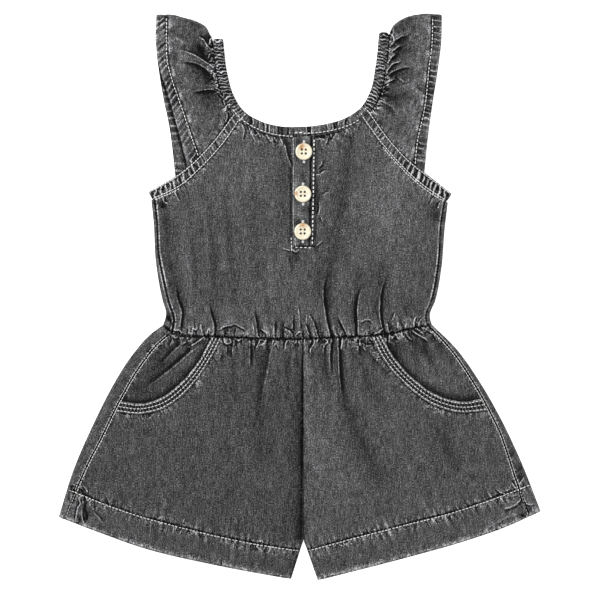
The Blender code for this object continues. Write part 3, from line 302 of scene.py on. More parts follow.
LEG_CREASES = {
    "left": (
        Crease(((-38.2, -32.5), (-38.4, -46), (-38.8, -60)), 1.3, 1.1, -0.35),
        Crease(((-23, -33), (-25.6, -50), (-30.4, -74),
                (-35, -104)), 2.2, 0.9, 0.3, tone=0.1, pale=0.8, dark=0.3, hold=0.15),
        shadow(((-27, -36), (-31.2, -74.8), (-31, -114.8), (-25.2, -160.8)), 3.8, 0.34, 0.5, 0.9, 0.4),
        shadow(((-52, -40), (-54, -60), (-52, -84)), 3, 0.2, 0.3, 0.7, 0.3),
        Crease(((-6, -34), (-9, -62), (-12, -92)), 5, 0.35, 0.2),
        Crease(((-51.4, -34.4), (-49.8, -44)), 1.2, 0.6, 0.3),
        Crease(((-56.6, -34.6), (-57.6, -50)), 1.2, 0.7, -0.35),
        Crease(((-64, -52), (-60, -44)), 1.6, 0.5, 0.25, start=0),
        Crease(((-46, -120), (-62, -190)), 14, 0.4, 0, start=0),
        dent(((-184.6, -151.6), (-180.8, -152.2)), 1, 0.9, 0, 1, 0.9),
        dent(((-179.8, -155), (-175.6, -154), (-173.6, -155.8)), 1, 0.9, 0, 1, 0.9),
        dent(((-172.4, -149), (-170, -151.6), (-168.6, -155)), 1.4, 0.8, 0, 0.5, 0.9),
        dent(((-174, -154.8), (-170.8, -157.2), (-169.6, -155.6)), 1, 0.9, 0, 0.8, 0.9),
        dent(((-185.6, -155.6), (-184.8, -160.4), (-183.2, -164.2)), 1.1, 0.8, 0, 0.7, 0.7),
        dent(((-180.6, -164.2), (-176, -165.2)), 1.4, 0.5, 0.1, 0.5, 0.8),
        dent(((-172, -158.8), (-171.6, -165.2), (-171.4, -170.8), (-170, -174.8),
              (-171.6, -181)), 1.2, 1.1, 0, 1, 0.85),
        shadow(((-186, -160), (-178, -170), (-168, -174)), 6, -0.28, 0, 1, 0.7),
        shadow(((-168, -176), (-140, -186), (-120, -192)), 4, -0.12, 0, 1, 0.7),
        dent(((-174, -162.8), (-174.4, -168.4), (-173.2, -173.8)), 1.2, 0.5, 0, 0.6, 0.7),
        dent(((-175.6, -176.4), (-176, -181.2)), 1.2, 1, 0, 1.1, 0.95),
        hook(((-175.6, -152.4), (-173.2, -151.4), (-170.8, -153.2), (-169.8, -156.4)), 0.9, 0),
        hook(((-183.6, -148.4), (-180.4, -150.4), (-177.2, -150.8)), 0.8, 0.8),
        hook(((-176, -162.6), (-175.2, -165.2), (-177.2, -168.4), (-178, -172.4),
              (-179.2, -178.4)), 1.3, 0.9),
        hook(((-174, -171.2), (-174, -176.4), (-172.2, -181.6)), 0.9, 0.4, -1),
        hook(((-165.2, -162.4), (-165.2, -168.4), (-163.6, -173.2), (-160.4, -176.4),
              (-156.8, -181.8)), 0.6, 0.6, -1, 0.8),
        hook(((-162, -168), (-162.8, -172.8)), 0.8, 0.5, 1, 0.7),
        hook(((-153.4, -160.8), (-151.4, -165.6)), 0.9, 0.6),
        hook(((-92, -177.4), (-93.6, -181), (-96.6, -184.4)), 0.7, 0.2, 1, 0.8),
        hook(((-60.4, -33), (-58.8, -37.2), (-54.8, -36.4), (-56.4, -32.6)), 1.5, 1),
        hook(((-51.6, -33.2), (-49.2, -34.8), (-46, -33.2), (-45.2, -39)), 1, 1.2, 1, 0.8),
        hook(((-34.4, -40.6), (-32.4, -36.4), (-31.6, -32.2)), 1.3, 1, -1),
        hook(((-30.8, -38.4), (-26.8, -34), (-26.4, -31.2)), 1.2, 1, -1),
        hook(((-22, -37.4), (-19.6, -33.6), (-15.2, -33.2)), 1, 0.8, 1, 0.8),
        hook(((-8.4, -33.6), (-10.8, -36.4), (-11.6, -43)), 1.1, 0.8, 1, 0.8),
        hook(((-0.6, -34), (0.4, -39.8)), 1.1, 1, 1, 0.8),
        hook(((-40.6, -34), (-41.4, -42)), 0.9, 1, -1, 0.7),
        hook(((-53, -40), (-53.6, -50)), 0.7, 0.6, 1, 0.6),
    ),
    "right": (
        Crease(((10.4, -34), (8.4, -46)), 1.2, 0.8, -0.3),
        Crease(((20.8, -34), (18.8, -47)), 1.3, 1, 0.35),
        Crease(((26.4, -34), (25.4, -51.6), (27, -64)), 1.3, 1.1, -0.35),
        Crease(((32.2, -33.5), (33.2, -60), (36, -88)), 1.7, 1.2, -0.4),
        Crease(((47.2, -32.8), (48.8, -48.6)), 1.3, 1, -0.35),
        Crease(((50.4, -36.8), (58.6, -48.8), (68, -58.4),
                (82, -69.6)), 2.4, 0.8, 0.3, tone=0.1, pale=0.4, dark=0.4, hold=0.5),
        Crease(((58, -34), (60.6, -41)), 1.1, 0.6, 0.35),
        Crease(((12, -58), (13, -120)), 6, 0.3, 0.15, start=0),
        shadow(((15, -38), (18.4, -60), (20, -80)), 3.2, 0.45, 0.4, 0.9, 0.4),
        shadow(((27, -40), (31.6, -68), (43, -100), (61, -140), (81, -172)), 4.4, 0.42, 0.5, 0.8, 0.6),
        shadow(((44, -44), (60, -76), (80, -108)), 3.6, 0.28, 0.3, 0.8, 0.4),
        shadow(((101, -84), (113, -108), (131, -148)), 4.4, 0.36, 0.4, 0.3, 0.6),
        shadow(((6, -60), (8, -100), (12, -150)), 7, -0.14, 0, 0.6, 0.6),
        shadow(((16, -100), (22, -140), (36, -186)), 12, -0.1, 0, 0.6, 0.6),
        dent(((49.2, -36), (54, -37.2), (58.4, -36.6)), 1.6, 0.7, 0.4, 0.8, 0.9),
        dent(((178, -161), (180.4, -166.8), (182.2, -173.6)), 1.1, 1, 0.3, 1.2, 0.9),
        dent(((178.6, -174.8), (181.6, -175.4)), 1.5, 1.1, 0.5, 1.1, 0.9),
        shadow(((168.4, -125), (171.6, -125.6)), 1.6, 0.8, 0.5, 0.9, 0.8),
        shadow(((174, -137), (178, -137.4)), 1.5, 0.8, 0.5, 0.9, 0.8),
        shadow(((174.4, -143.4), (178.6, -143)), 1.6, 0.9, 0.5, 0.9, 0.8),
        hook(((176.4, -149.2), (178, -146.8), (181, -143.8)), 1.4, 0.9, -1),
        hook(((176.4, -154.8), (178.8, -159.6), (181.2, -164.8)), 1.3, 1.2),
        hook(((177.6, -158.6), (176.4, -162), (172.4, -166), (166.8, -168.4),
              (163.2, -169.4)), 1.1, 0.8, -1, width=1.7),
        hook(((178.8, -164.2), (179.6, -168.4), (181.2, -171.6), (182.8, -174.8)), 1.2, 0.3, -1),
        hook(((181, -165), (185.2, -166), (187.8, -165)), 0.9, 0.6),
        hook(((186, -166.6), (186.8, -172)), 0.9, 0.5),
        hook(((170, -149), (173.8, -154.6)), 1.1, 0.6, -1),
        hook(((158.6, -154.6), (160.4, -156), (162.8, -156.8), (165.6, -157.2), (166.2, -153.6)), 1.1, 0.9),
        hook(((151.4, -157.6), (154.2, -160.8)), 0.9, 0.8),
        hook(((160.8, -160.6), (163.8, -164.8)), 1, 0.8, -1),
        Crease(((150.8, -184.4), (158.8, -179.6), (166.8, -175.6),
                (176.4, -173)), 2.2, -0.4, 0.05, start=0.4, tone=-0.3, pale=0.5, dark=0.3, shift=1.3,
               hold=0.9),
        shadow(((186, -160), (184, -172)), 4, -0.2, 0, 1, 0.7),
        hook(((4.4, -32.8), (4, -37.4)), 1, 0.8, 1, 0.7),
        hook(((11.2, -32.4), (12, -36.4), (9.2, -41.2), (8.4, -46.6)), 1.3, 0.8, 1, 0.8),
        hook(((12, -36), (14, -35.2), (15.2, -32.8)), 1.1, 0.8),
        hook(((20, -33.6), (21.6, -34.4), (22.4, -36), (21.2, -37.2), (20, -38.8),
              (18.8, -46.4)), 1.5, 1, -1, 0.7),
        hook(((25.6, -33), (25.6, -37)), 1.2, 1.2, -1),
        hook(((27.6, -33.2), (30.8, -34), (29.2, -37.2), (27.6, -43.6)), 1, 0.7, 1, 0.7),
        hook(((34.4, -33), (34, -37.2), (33, -42.8)), 1.5, 1.2, 1, 0.8),
        hook(((38, -39.4), (39.4, -34.4)), 0.9, 0.9, -1),
        hook(((41.8, -35.6), (46.2, -36.6)), 0.8, 0.6, -1),
        hook(((48.3, -33.6), (48.3, -40.4)), 1.1, 1, 1, 0.8),
        hook(((49.2, -37.2), (53.2, -39.2), (58.2, -38.4)), 0.9, 0.6, -1),
        hook(((57, -33), (59.6, -36.4), (61.4, -41.8)), 1.2, 0.9),
        hook(((50.6, -39.4), (53.4, -43.4)), 0.9, 0.7, 1, 0.8),
    ),
}
POCKET_CREASES = {
    "left": (
        Crease(((-76.6, -32.8), (-84.4, -39.2), (-99.8, -52.8), (-134, -79)), 2.6, 0.9, 0.6),
        Crease(((-90, -31.5), (-103, -43), (-118, -60)), 2.6, 0.7, 0.5),
        Crease(((-70, -34), (-76, -43)), 1.8, 0.6, 0.4),
        hook(((-102, -30.8), (-98.8, -32.8), (-96.2, -29.8)), 1.5, 0.8),
        hook(((-103.2, -38), (-100.4, -34), (-94.6, -32.4)), 1, 0.6, -1),
        hook(((-91.2, -30.6), (-89.6, -33.2), (-87.4, -30.6)), 1.6, 1.2, -1),
        hook(((-93.4, -37.6), (-90, -34.8), (-88, -30.6)), 1.2, 0.8),
        hook(((-86, -38.8), (-81.2, -35.6), (-77.2, -32.4), (-76.2, -30.8)), 1.3, 1.2, -1),
        hook(((-72.2, -31), (-69.8, -33.6)), 1.2, 0.8),
    ),
    "right": (
        Crease(((82, -31), (96, -47), (112, -68)), 3.2, -0.5, 0.05, tone=-0.25, pale=0, dark=0, hold=0.3),
        Crease(((97, -29), (110, -45), (122, -64)), 2.8, -0.5, 0.05, tone=-0.25, pale=0, dark=0, hold=0.3),
        dent(((88, -30), (102, -46), (116, -66)), 2.4, 0.7, 0.2, 0.2, 0.3),
        hook(((72, -31), (71.6, -37)), 1.3, 1),
        hook(((85.2, -28.2), (86.8, -31.6), (90.2, -34.2)), 1, 1.1),
        hook(((90.8, -27.4), (94, -29.6), (100.4, -33.2), (103, -35)), 1.3, 0.6),
        hook(((92.4, -24.8), (97.2, -27.6), (102, -33.8)), 1.4, 0.4, -1),
        shadow(((92, -26.8), (98, -30.6)), 1.4, 1, 0.6, 0.9, 0.8),
        hook(((98, -24.6), (103.6, -26.8), (107.6, -30), (110.4, -34.6)), 0.9, 0.4),
        hook(((77, -30.4), (79.4, -33.6)), 0.9, 0.8),
    ),
}
SLEEVE_CREASES = {
    "left": (
        dent(((-69.4, 185.4), (-72.4, 188.4), (-76.4, 193.2), (-79.6, 198.8),
              (-81.6, 206)), 2.2, 1.4, 0.5, 0.9, 0.5),
        hook(((-68, 198), (-71.6, 198.8), (-74, 201.2), (-76.4, 205.2), (-80.6, 208.6)), 1.5, 1.4),
        hook(((-72.6, 203.6), (-69.4, 203.8), (-67.4, 201)), 1.3, 1.4),
        hook(((-72.6, 192.2), (-71.2, 195.2), (-70, 196), (-68.4, 194.8), (-67.4, 192.2)), 1.5, 1.4),
        dent(((-69.8, 194.6), (-69.6, 190.8), (-69.4, 185.6)), 1.2, 1, 0.3, 1.2, 0.9),
        hook(((-69, 183.4), (-71.6, 186), (-74.8, 187.6), (-78, 190), (-83.6, 193.2), (-91, 196),
              (-98, 198.4)), 1.3, 0.7, 1, 0.6),
        hook(((-65.6, 179.8), (-68.8, 177.2), (-67.6, 174.8), (-64.8, 174)), 1.6, 1.3),
        dent(((-64.4, 167.6), (-66.8, 171.6), (-70, 174), (-74, 177.2),
              (-80, 181)), 1.8, 1.1, 0.3, 0.9, 0.41),
        hook(((-66.2, 167), (-62.8, 165.2), (-60.8, 163.4)), 1.5, 1.3),
        hook(((-63.8, 163), (-62.8, 161.2), (-60, 159.4)), 1.4, 1.2),
        hook(((-60.6, 157.4), (-59.4, 153)), 1.3, 1.3),
        hook(((-57, 154.2), (-59.2, 149.2), (-58, 146), (-58.4, 142), (-61.2, 137.4)), 1.3, 1.2, -1, 0.8),
        hook(((-65.2, 172), (-63.4, 170.4)), 1.2, 1),
        shadow(((-82, 214), (-80, 200), (-74, 170), (-74, 140)), 7, 0.4, 0.3, 0.6, 0.7),
        Crease(((-67.1, 172.2), (-75.8, 181.7), (-84.4, 186), (-99, 187)), 1.8, 1.3, -0.9),
        Crease(((-63.4, 164.2), (-75.8, 164.4), (-88, 161.8)), 1.7, 1.2, -0.5),
        Crease(((-55.2, 151.4), (-58.4, 142.8), (-60.4, 135), (-64.8, 127)), 1.3, 0.9, -0.6),
        Crease(((-66.2, 180), (-70, 184.6), (-73.4, 187)), 1.1, 0.9, -0.6),
        Crease(((-65.4, 168.6), (-68.6, 171.4), (-71.4, 173.6)), 1, 0.7, -0.5),
        Crease(((-92, 206), (-104, 214)), 4, 0.5, 0.3),
        Crease(((-106.6, 204), (-113.6, 197.6)), 1, 0.5, 0.6),
        hook(((-70, 132), (-72.6, 128)), 0.7, 0.5, 1, 0.7),
    ),
    "right": (
        Crease(((73.4, 201), (77.7, 203.8), (83, 207), (90.4, 210.4)), 1.5, 1.2, 0.7),
        Crease(((73.8, 196), (79.4, 197.4), (82.6, 199.8), (85.4, 202)), 1.2, 0.9, 0.6),
        Crease(((72.2, 186.6), (75, 190.2), (77.8, 193.4), (82.6, 195)), 1.3, 1, 0.7),
        Crease(((69.2, 178), (72.4, 181.2), (75, 183.8), (80.4, 187.6)), 1.3, 1, 0.7),
        Crease(((68.4, 171.4), (72.4, 175.8), (75.6, 179), (83, 182.2), (93, 182.2)), 1.5, 1.1, 0.7),
        Crease(((67.4, 168.8), (70.2, 170.6), (74, 171.6), (80, 172.8)), 1.1, 0.9, 0.6),
        Crease(((63.4, 160.4), (66, 163.4), (69.4, 167)), 2.6, 1.1, 0.3),
        Crease(((62.4, 156), (72.4, 150.2), (78.6, 140.8)), 4.6, 1.1, 0.4),
        Crease(((92, 170), (99, 164), (103, 160)), 1.4, 0.3, -0.4, start=0),
        hook(((74.8, 216), (74.8, 210.8), (72.4, 206.8), (70.4, 204.8)), 1.2, 1.3),
        hook(((70.2, 201.4), (72.4, 200.4), (74, 202.8), (77.2, 206), (81.2, 208.4),
              (86.4, 212.6)), 1.4, 0.8, 1, 0.6),
        hook(((69.8, 198.4), (71.2, 197.2), (72.8, 195.6), (74.8, 197.2), (78, 199.6),
              (81.4, 203)), 1.4, 1.2, 1, 0.7),
        hook(((70.6, 187.2), (72, 189.2), (74, 192.4), (78.2, 195)), 1.4, 1.3, 1, 0.7),
        hook(((69, 178.4), (70.8, 182), (73.2, 185.2), (74.8, 186.8), (78, 187.6),
              (82.2, 189.4)), 1.5, 1.4, 1, 0.7),
        hook(((73.2, 188.6), (71.6, 186), (69.2, 183.6), (67.2, 183.4)), 1.4, 1.2, -1),
        hook(((66.4, 173), (68.8, 174), (70, 176.4), (73.2, 179.6), (78.2, 182.2)), 1.3, 1.2, 1, 0.7),
        hook(((64, 167), (66, 166), (67.2, 167.6), (67.6, 170), (69.2, 171.6), (73.2, 173.2),
              (78.4, 175.8)), 1.4, 1.3, 1, 0.7),
        hook(((69, 166.2), (66.8, 164.4), (66, 161.6)), 1.2, 1.2, -1),
        shadow(((69.2, 167), (70.8, 163.6), (68.4, 160.8)), 2.4, 1, 0.8, 0.9, 0.9),
        hook(((78.6, 175.8), (81.2, 174), (83.6, 172), (86.8, 172.8), (86.8, 176)), 0.6, 0.2, 1, 0.8),
        shadow(((84, 214), (80, 198), (76, 180), (76, 158), (78, 140)), 6, 0.35, 0.3, 0.7, 0.7),
    ),
}

CASING_CREASES = (
    hook(((-37.2, 143.4), (-36.8, 139.6), (-38, 135)), 1.4, 1.4),
    hook(((-32, 141.6), (-32, 133.6)), 1, 0.9),
    hook(((-27.6, 140), (-26.8, 132)), 1.4, 1),
    hook(((-24, 138.6), (-24, 129.6)), 1.2, 1.3),
    hook(((-20.4, 137), (-20.8, 131.6), (-19.4, 127.6)), 1, 0.6, -1),
    hook(((-18, 136.2), (-18, 130)), 0.9, 1, -1),
    hook(((-12.4, 134.4), (-12.4, 128)), 0.3, 1),
    hook(((-8, 134.8), (-7.8, 129.8)), 0.7, 1),
    hook(((5.2, 136.6), (6, 130.8), (5.6, 127.2)), 1.1, 1.3, -1),
    hook(((10, 137), (9.6, 130)), 1.4, 1.4),
    hook(((13, 137), (12.8, 130.6)), 0.9, 0.9),
    hook(((22, 139), (23.2, 133.6)), 1, 0.6),
    hook(((26, 140.2), (27.2, 132.8)), 1.2, 1.2, -1),
    hook(((31.6, 142), (30.8, 135)), 1, 0.9),
    hook(((37, 144.6), (35, 137.6)), 0.9, 1.2, -1),
    hook(((42, 147.4), (38.8, 141)), 0.9, 1),
    shadow(((-39, 143), (-40, 137)), 1.6, 1, 0.3, 0.9, 0.9),
    shadow(((-15.6, 135), (-15.6, 130)), 1.8, 0.6, 0.2, 0.9, 0.9),
    shadow(((7.8, 136), (7.8, 129)), 1.4, 0.9, 0.3, 0.9, 0.9),
    shadow(((28.6, 139), (28.8, 134)), 1.5, 0.8, 0.3, 0.9, 0.9),
)

# Small ridges across a seam: their pitch, height and slant, and how far they reach from it. Pleated ones are
# narrow crests on flat cloth, and the others are round crests between sharp valleys.
Ripples = namedtuple("Ripples", "pitch height reach slant pleated", defaults=(0.0, False))

# The finest puckers beside a seam, which the finish draws: the pitch of their pale crests, partly wear and
# partly painted highlight, how far they reach, how strong they are, how evenly they follow one another, from 0
# to 1, their slant, how far left the painted shadow of the groove lies, and how pale the worn lines are that
# run on both sides of it.
Puckers = namedtuple("Puckers", "pitch reach amount even slant shift flank", defaults=(0.0, 0.0, 0.0, 0.0))

# A seam, fold or row of stitches: the panel sinks into its groove and stands in a roll beside it, which wears
# pale; a groove wider than WIDE_GROOVE gets painted shade. Ripples stand on both sides of it where side is 0,
# and otherwise on its left (1) or on its right (-1). An edge holds the cloth down, and the cloth puffs up away
# from it.
Seam = namedtuple(
    "Seam", "groove width roll offset worn ripples puckers side edge", defaults=((), None, 0, True)
)
SEAMS = {
    "bodice_waist": Seam(
        1.6, 1.4, 0.2, 2.8, 0.1,
        (Ripples(3.1, 0.5, 3.5, 0.2, True), Ripples(5.3, 0.75, 8, 0.15), Ripples(10, 0.45, 18, 0.1)),
        Puckers(4.2, 7, 1.2),
    ),
    "leg_waist": Seam(
        1.6, 1.4, 0.2, 2.8, 0.1,
        (Ripples(3.3, 0.5, 3.5, 0.2, True), Ripples(5.7, 0.7, 7, 0.15), Ripples(11, 0.45, 20, 0.08)),
        Puckers(4.4, 8, 1.3),
    ),
    "bodice_side": Seam(
        0.5, 0.6, 0.3, 1.5, 0.2, (Ripples(6, 0.12, 3, 0.2, True),),
        Puckers(2.4, 2.4, 1.5, 0.3, 0, 0, 2),
    ),
    "armhole": Seam(0.8, 0.7, 0.1, 1.8, 0, (Ripples(5.5, 0.3, 5, 0.3, True),), Puckers(3.6, 5, 1)),
    "neck": Seam(
        1, 1.5, 0.1, 2.8, 0, (Ripples(5, 0.4, 7.5, 0.3, True), Ripples(9.5, 0.15, 15, 0.2)),
        Puckers(4.2, 8.8, 1.15, 0, 0, -TUCK),
    ),
    "leg_side": Seam(
        0.6, 0.45, 0.1, 1.6, 0, (Ripples(6, 0.15, 4, 0.2, True),), Puckers(4, 2.6, 1.5),
    ),
    "leg_centre": Seam(1.8, 1.3, 0, 3, 0, (Ripples(14, 0.1, 6),), Puckers(5, 2.5, 0.6)),
    "hem_edge": Seam(0.5, 0.6, 0, 1.6, 0.5, (Ripples(9, 0.1, 8, 0.2),), Puckers(3.6, 5, 1)),
    "hem_stitches": Seam(
        0.5, 0.9, 0.1, 2.4, 0, (Ripples(4.6, 0.45, 5, 0.25, True), Ripples(6.5, 0.4, 8, 0.15)),
        Puckers(3.6, 5, 1.5, 0.15, 0.1, 1.2, 0), 0, False,
    ),
    "pocket_join": Seam(
        0.8, 0.7, 0.1, 1.8, 0, (Ripples(5.2, 0.25, 5, 0.2, True),), Puckers(3.4, 5, 1.1),
    ),
    "sleeve_join": Seam(
        1.2, 1.6, 0.2, 3.4, 0,
        (Ripples(3.4, 0.6, 5, 0.3, True), Ripples(6.2, 0.4, 7, 0.3), Ripples(12, 0.3, 21, 0.2)),
        Puckers(2.7, 6.2, 3.3, 0.15, 0.15),
    ),
    "sleeve_edge": Seam(0.5, 0.6, 0, 1.4, 0.6),
    "sleeve_stitches": Seam(
        0.5, 0.7, 0.1, 1.9, 0, (Ripples(6, 0.22, 9, 0.7, True),),
        Puckers(4.9, 9, 1.7, 0.6, 0.7), 0, False,
    ),
    "back_seam": Seam(0.5, 1, 0, 2, 0.2, (Ripples(7, 0.2, 5, 0.2, True),), Puckers(4, 4, 0.8)),
    "back_waist": Seam(
        0.6, 1.4, 0, 3, 0.2, (Ripples(5, 0.35, 8), Ripples(10, 0.4, 20)), Puckers(4, 6, 1),
    ),
}

# How high cloth puffs up away from its edges and over what distance, the low waves of every panel, how pale its
# ripples' crests wear and how dark their valleys are painted as shade, the width above which a groove gets
# painted shade, the most wear and painted shade that is drawn, how many millimetres the puckers' map takes as
# one, and where on that map there is no groove.
PUFF = 0.7
PUFF_REACH = 13.0
BROAD_WAVES, BROAD_WAVE_SPAN = 0.14, 46
SMALL_WAVES, SMALL_WAVE_SPAN = 0.03, 13
RIPPLE_WEAR_AND_SHADE = 4.0
WIDE_GROOVE = 0.7
MOST_WEAR_AND_SHADE = 1.2
PUCKER_SPAN = 8.0
NO_GROOVE = 50.0

# Points on pattern lines, steps of the tightest turns, a distance beyond any on the part and the
# distance within which doubled points are merged.
CLOSE_POINTS = 80
POINTS_PER_STEP = 16
POINTS_PER_LEG = 120
CREASE_STEPS = 16
FOLD_STEPS = 8
RING_STEPS = 22
FAR = 1e9
WELD = 0.00001

# Columns and rows of the faces of each panel, and where its chance starts.
GRIDS = {
    "bodice_back": (100, 90),
    "leg_front": (220, 124),
    "leg_back": (64, 90),
    "pocket_facing": (84, 84),
    "pocket_band": (200, 20),
    "placket": (60, 170),
}
BODICE_FRONT_ROWS = 104
BINDING_RING_STEPS = 18
SEEDS = {
    "armhole_binding_left": 61,
    "armhole_binding_right": 67,
    "placket": 60,
    "bodice_front": 100,
    "bodice_back": 1100,
    "sleeve_left": 300,
    "sleeve_right": 450,
    "leg_front_left": 500,
    "leg_front_right": 650,
    "leg_back_left": 1200,
    "leg_back_right": 1300,
    "pocket_facing_left": 800,
    "pocket_facing_right": 860,
    "pocket_band_left": 900,
    "pocket_band_right": 940,
}


def eased(value):
    """0 below 0, 1 above 1, and smooth between."""
    t = np.clip(value, 0.0, 1.0)
    return t * t * (3 - 2 * t)


def bell(value, width, power=2):
    """1 at 0, falling to both sides over a width."""
    return np.exp(-(np.abs(value / width) ** power))


def unit(vectors):
    return vectors / np.linalg.norm(vectors, axis=-1, keepdims=True)


def between(t, places, values):
    """The rows of values at t, each part straight from one of their places to the next."""
    return np.stack([np.interp(t, places, part) for part in values.T], axis=-1)


def level(height):
    """A surface at one height."""
    return lambda x, y: np.full(np.shape(x), height)


def stacked(points, height):
    return np.concatenate([points, np.asarray(height, float)[..., None]], axis=-1)


def denser_at_ends(count, amount):
    """Shares from 0 to 1 that lie closer together near both ends."""
    t = np.linspace(0, 1, count + 1)
    return t - amount * np.sin(2 * math.pi * t) / (2 * math.pi)


# Pattern lines


class Line:
    """A line of close points, walked from 0 to 1 by its length."""

    def __init__(self, points):
        self.points = np.asarray(points, float)
        lengths = np.linalg.norm(np.diff(self.points, axis=0), axis=1)
        self.length = lengths.sum()
        self.share = np.concatenate([[0.0], np.cumsum(lengths)]) / self.length

    def at(self, t):
        return between(t, self.share, self.points)

    def tangent(self, t):
        return unit(self.at(np.minimum(t + 0.01, 1.0)) - self.at(np.maximum(t - 0.01, 0.0)))

    def left(self, t):
        """The way to the left of the line."""
        tangent = self.tangent(t)
        return np.stack([-tangent[..., 1], tangent[..., 0]], axis=-1)

    def part(self, start, end):
        """The stretch from one share of the length to another, which may run backwards."""
        return Line(self.at(np.linspace(start, end, CLOSE_POINTS)))

    def nearest(self, place):
        """The number of the line's point that is nearest to a place."""
        return int(np.argmin(np.hypot(*(self.points - place).T)))

    def share_at_y(self, y):
        """The share of the length at which a line that runs steadily down or up reaches height y."""
        order = np.argsort(self.points[:, 1])
        return float(np.interp(y, self.points[order, 1], self.share[order]))

    def offset(self, distance):
        """The line moved to its left by a distance."""
        t = np.linspace(0, 1, CLOSE_POINTS)
        return Line(self.at(t) + self.left(t) * distance)

    def beside(self, x, y, steps=40):
        """How far places are from the line, above 0 on its left, and how far along it they are."""
        short = len(self.points) <= steps + 20
        ends = self.points if short else self.at(np.linspace(0, 1, steps + 1))
        reach = self.share * self.length if short else np.linspace(0, self.length, steps + 1)
        nearest, along = np.full(np.shape(x), FAR), np.zeros(np.shape(x))
        for a, b, start, finish in zip(ends, ends[1:], reach, reach[1:]):
            step = b - a
            from_x, from_y = x - a[0], y - a[1]
            t = np.clip((from_x * step[0] + from_y * step[1]) / (step @ step), 0, 1)
            gap = np.hypot(from_x - t * step[0], from_y - t * step[1])
            closer = gap < np.abs(nearest)
            left = np.where(step[0] * from_y - step[1] * from_x >= 0, gap, -gap)
            along = np.where(closer, start + t * (finish - start), along)
            nearest = np.where(closer, left, nearest)
        return nearest, along


def curve(points):
    """The smooth line through a few pattern points."""
    knots = np.array(points, float)
    steps = np.linalg.norm(np.diff(knots, axis=0), axis=1)
    where = np.concatenate([[0.0], np.cumsum(steps)])
    slopes = np.gradient(knots, where, axis=0)
    stretches = []
    for i, step in enumerate(steps):
        t = np.linspace(0, 1, POINTS_PER_STEP, endpoint=False)[:, None]
        stretches.append(
            (2 * t**3 - 3 * t**2 + 1) * knots[i]
            + (t**3 - 2 * t**2 + t) * slopes[i] * step
            + (3 * t**2 - 2 * t**3) * knots[i + 1]
            + (t**3 - t**2) * slopes[i + 1] * step
        )
    return Line(np.concatenate([*stretches, knots[-1:]]))


class Chain:
    """Lines end to end as one side of a patch, each taking its share of the way."""

    def __init__(self, *lines_and_shares):
        self.lines = [line for line, _ in lines_and_shares]
        self.ends = np.concatenate([[0.0], np.cumsum([share for _, share in lines_and_shares])])

    def at(self, t):
        t = np.asarray(t, float)
        found = self.lines[0].at(np.clip(t / self.ends[1], 0, 1))
        for line, start, end in zip(self.lines[1:], self.ends[1:], self.ends[2:]):
            here = line.at(np.clip((t - start) / (end - start), 0, 1))
            found = np.where((t >= start)[..., None], here, found)
        return found


class Patch:
    """The cloth between four sides: base and top run along u, start and finish along v."""

    def __init__(self, base, top, start, finish):
        self.base, self.top, self.start, self.finish = base, top, start, finish

    def at(self, u, v):
        u, v = np.broadcast_arrays(np.asarray(u, float), np.asarray(v, float))
        across, along = u[..., None], v[..., None]
        corners = (
            (1 - across) * (1 - along) * self.base.at(np.zeros_like(u))
            + across * (1 - along) * self.base.at(np.ones_like(u))
            + (1 - across) * along * self.top.at(np.zeros_like(u))
            + across * along * self.top.at(np.ones_like(u))
        )
        return (
            (1 - along) * self.base.at(u)
            + along * self.top.at(u)
            + (1 - across) * self.start.at(v)
            + across * self.finish.at(v)
            - corners
        )


WAIST_LINE = curve(WAIST)


def waist_height(x):
    line = WAIST_LINE.points
    return np.interp(x, line[:, 0], line[:, 1])


def waist_share(x):
    return float(np.interp(x, WAIST_LINE.points[:, 0], WAIST_LINE.share))


# Folds, ripples and seams


def wander(values, seed):
    """Smooth unevenness from about -1 to 1, whose bends are about 3 apart."""
    chance = np.random.default_rng(seed)
    total = np.zeros(np.shape(values))
    for rate, size in ((0.7, 1.0), (1.45, 0.7), (2.6, 0.45)):
        total += size * np.sin(values * rate * chance.uniform(0.85, 1.15) + chance.uniform(0, 2 * math.pi))
    return total / 1.6


def rumple(x, y, size, seed):
    """Low waves that cross one another, from about -1 to 1."""
    chance = np.random.default_rng(seed)
    total = np.zeros(np.shape(x))
    for _ in range(9):
        angle = chance.uniform(0, math.pi)
        rate = 2 * math.pi / (size * chance.uniform(0.6, 1.5))
        total += np.sin((x * math.cos(angle) + y * math.sin(angle)) * rate + chance.uniform(0, 2 * math.pi))
    return total / 3


def billows(along, pitch, seed, pleated=False):
    """Round crests between sharp valleys, or narrow pleats, uneven and about 0 on average."""
    turns = along / pitch
    phase = turns + 0.4 * wander(turns, seed)
    size = np.clip(0.7 + 0.55 * wander(turns * 0.8, seed + 1), 0.1, 1.3)
    wave = np.abs(np.sin(math.pi * phase))
    return size * (1.1 * (1 - wave) ** 1.7 - 0.22 if pleated else wave**0.7 - 0.66)


def beside_crease(crease, x, y):
    """Which places are near a crease, their gaps from it, how far along it they are and how strong it is."""
    line = curve(crease.points)
    reach = 5 * crease.width
    low, high = line.points.min(axis=0) - reach, line.points.max(axis=0) + reach
    near = (x > low[0]) & (x < high[0]) & (y > low[1]) & (y < high[1])
    gap, along = line.beside(x[near], y[near], CREASE_STEPS)
    share = along / line.length
    fade = 1 - eased((share - crease.hold) / (1 - crease.hold))
    strength = (crease.start + (1 - crease.start) * eased(share * 3)) * fade
    return near, gap, along, strength


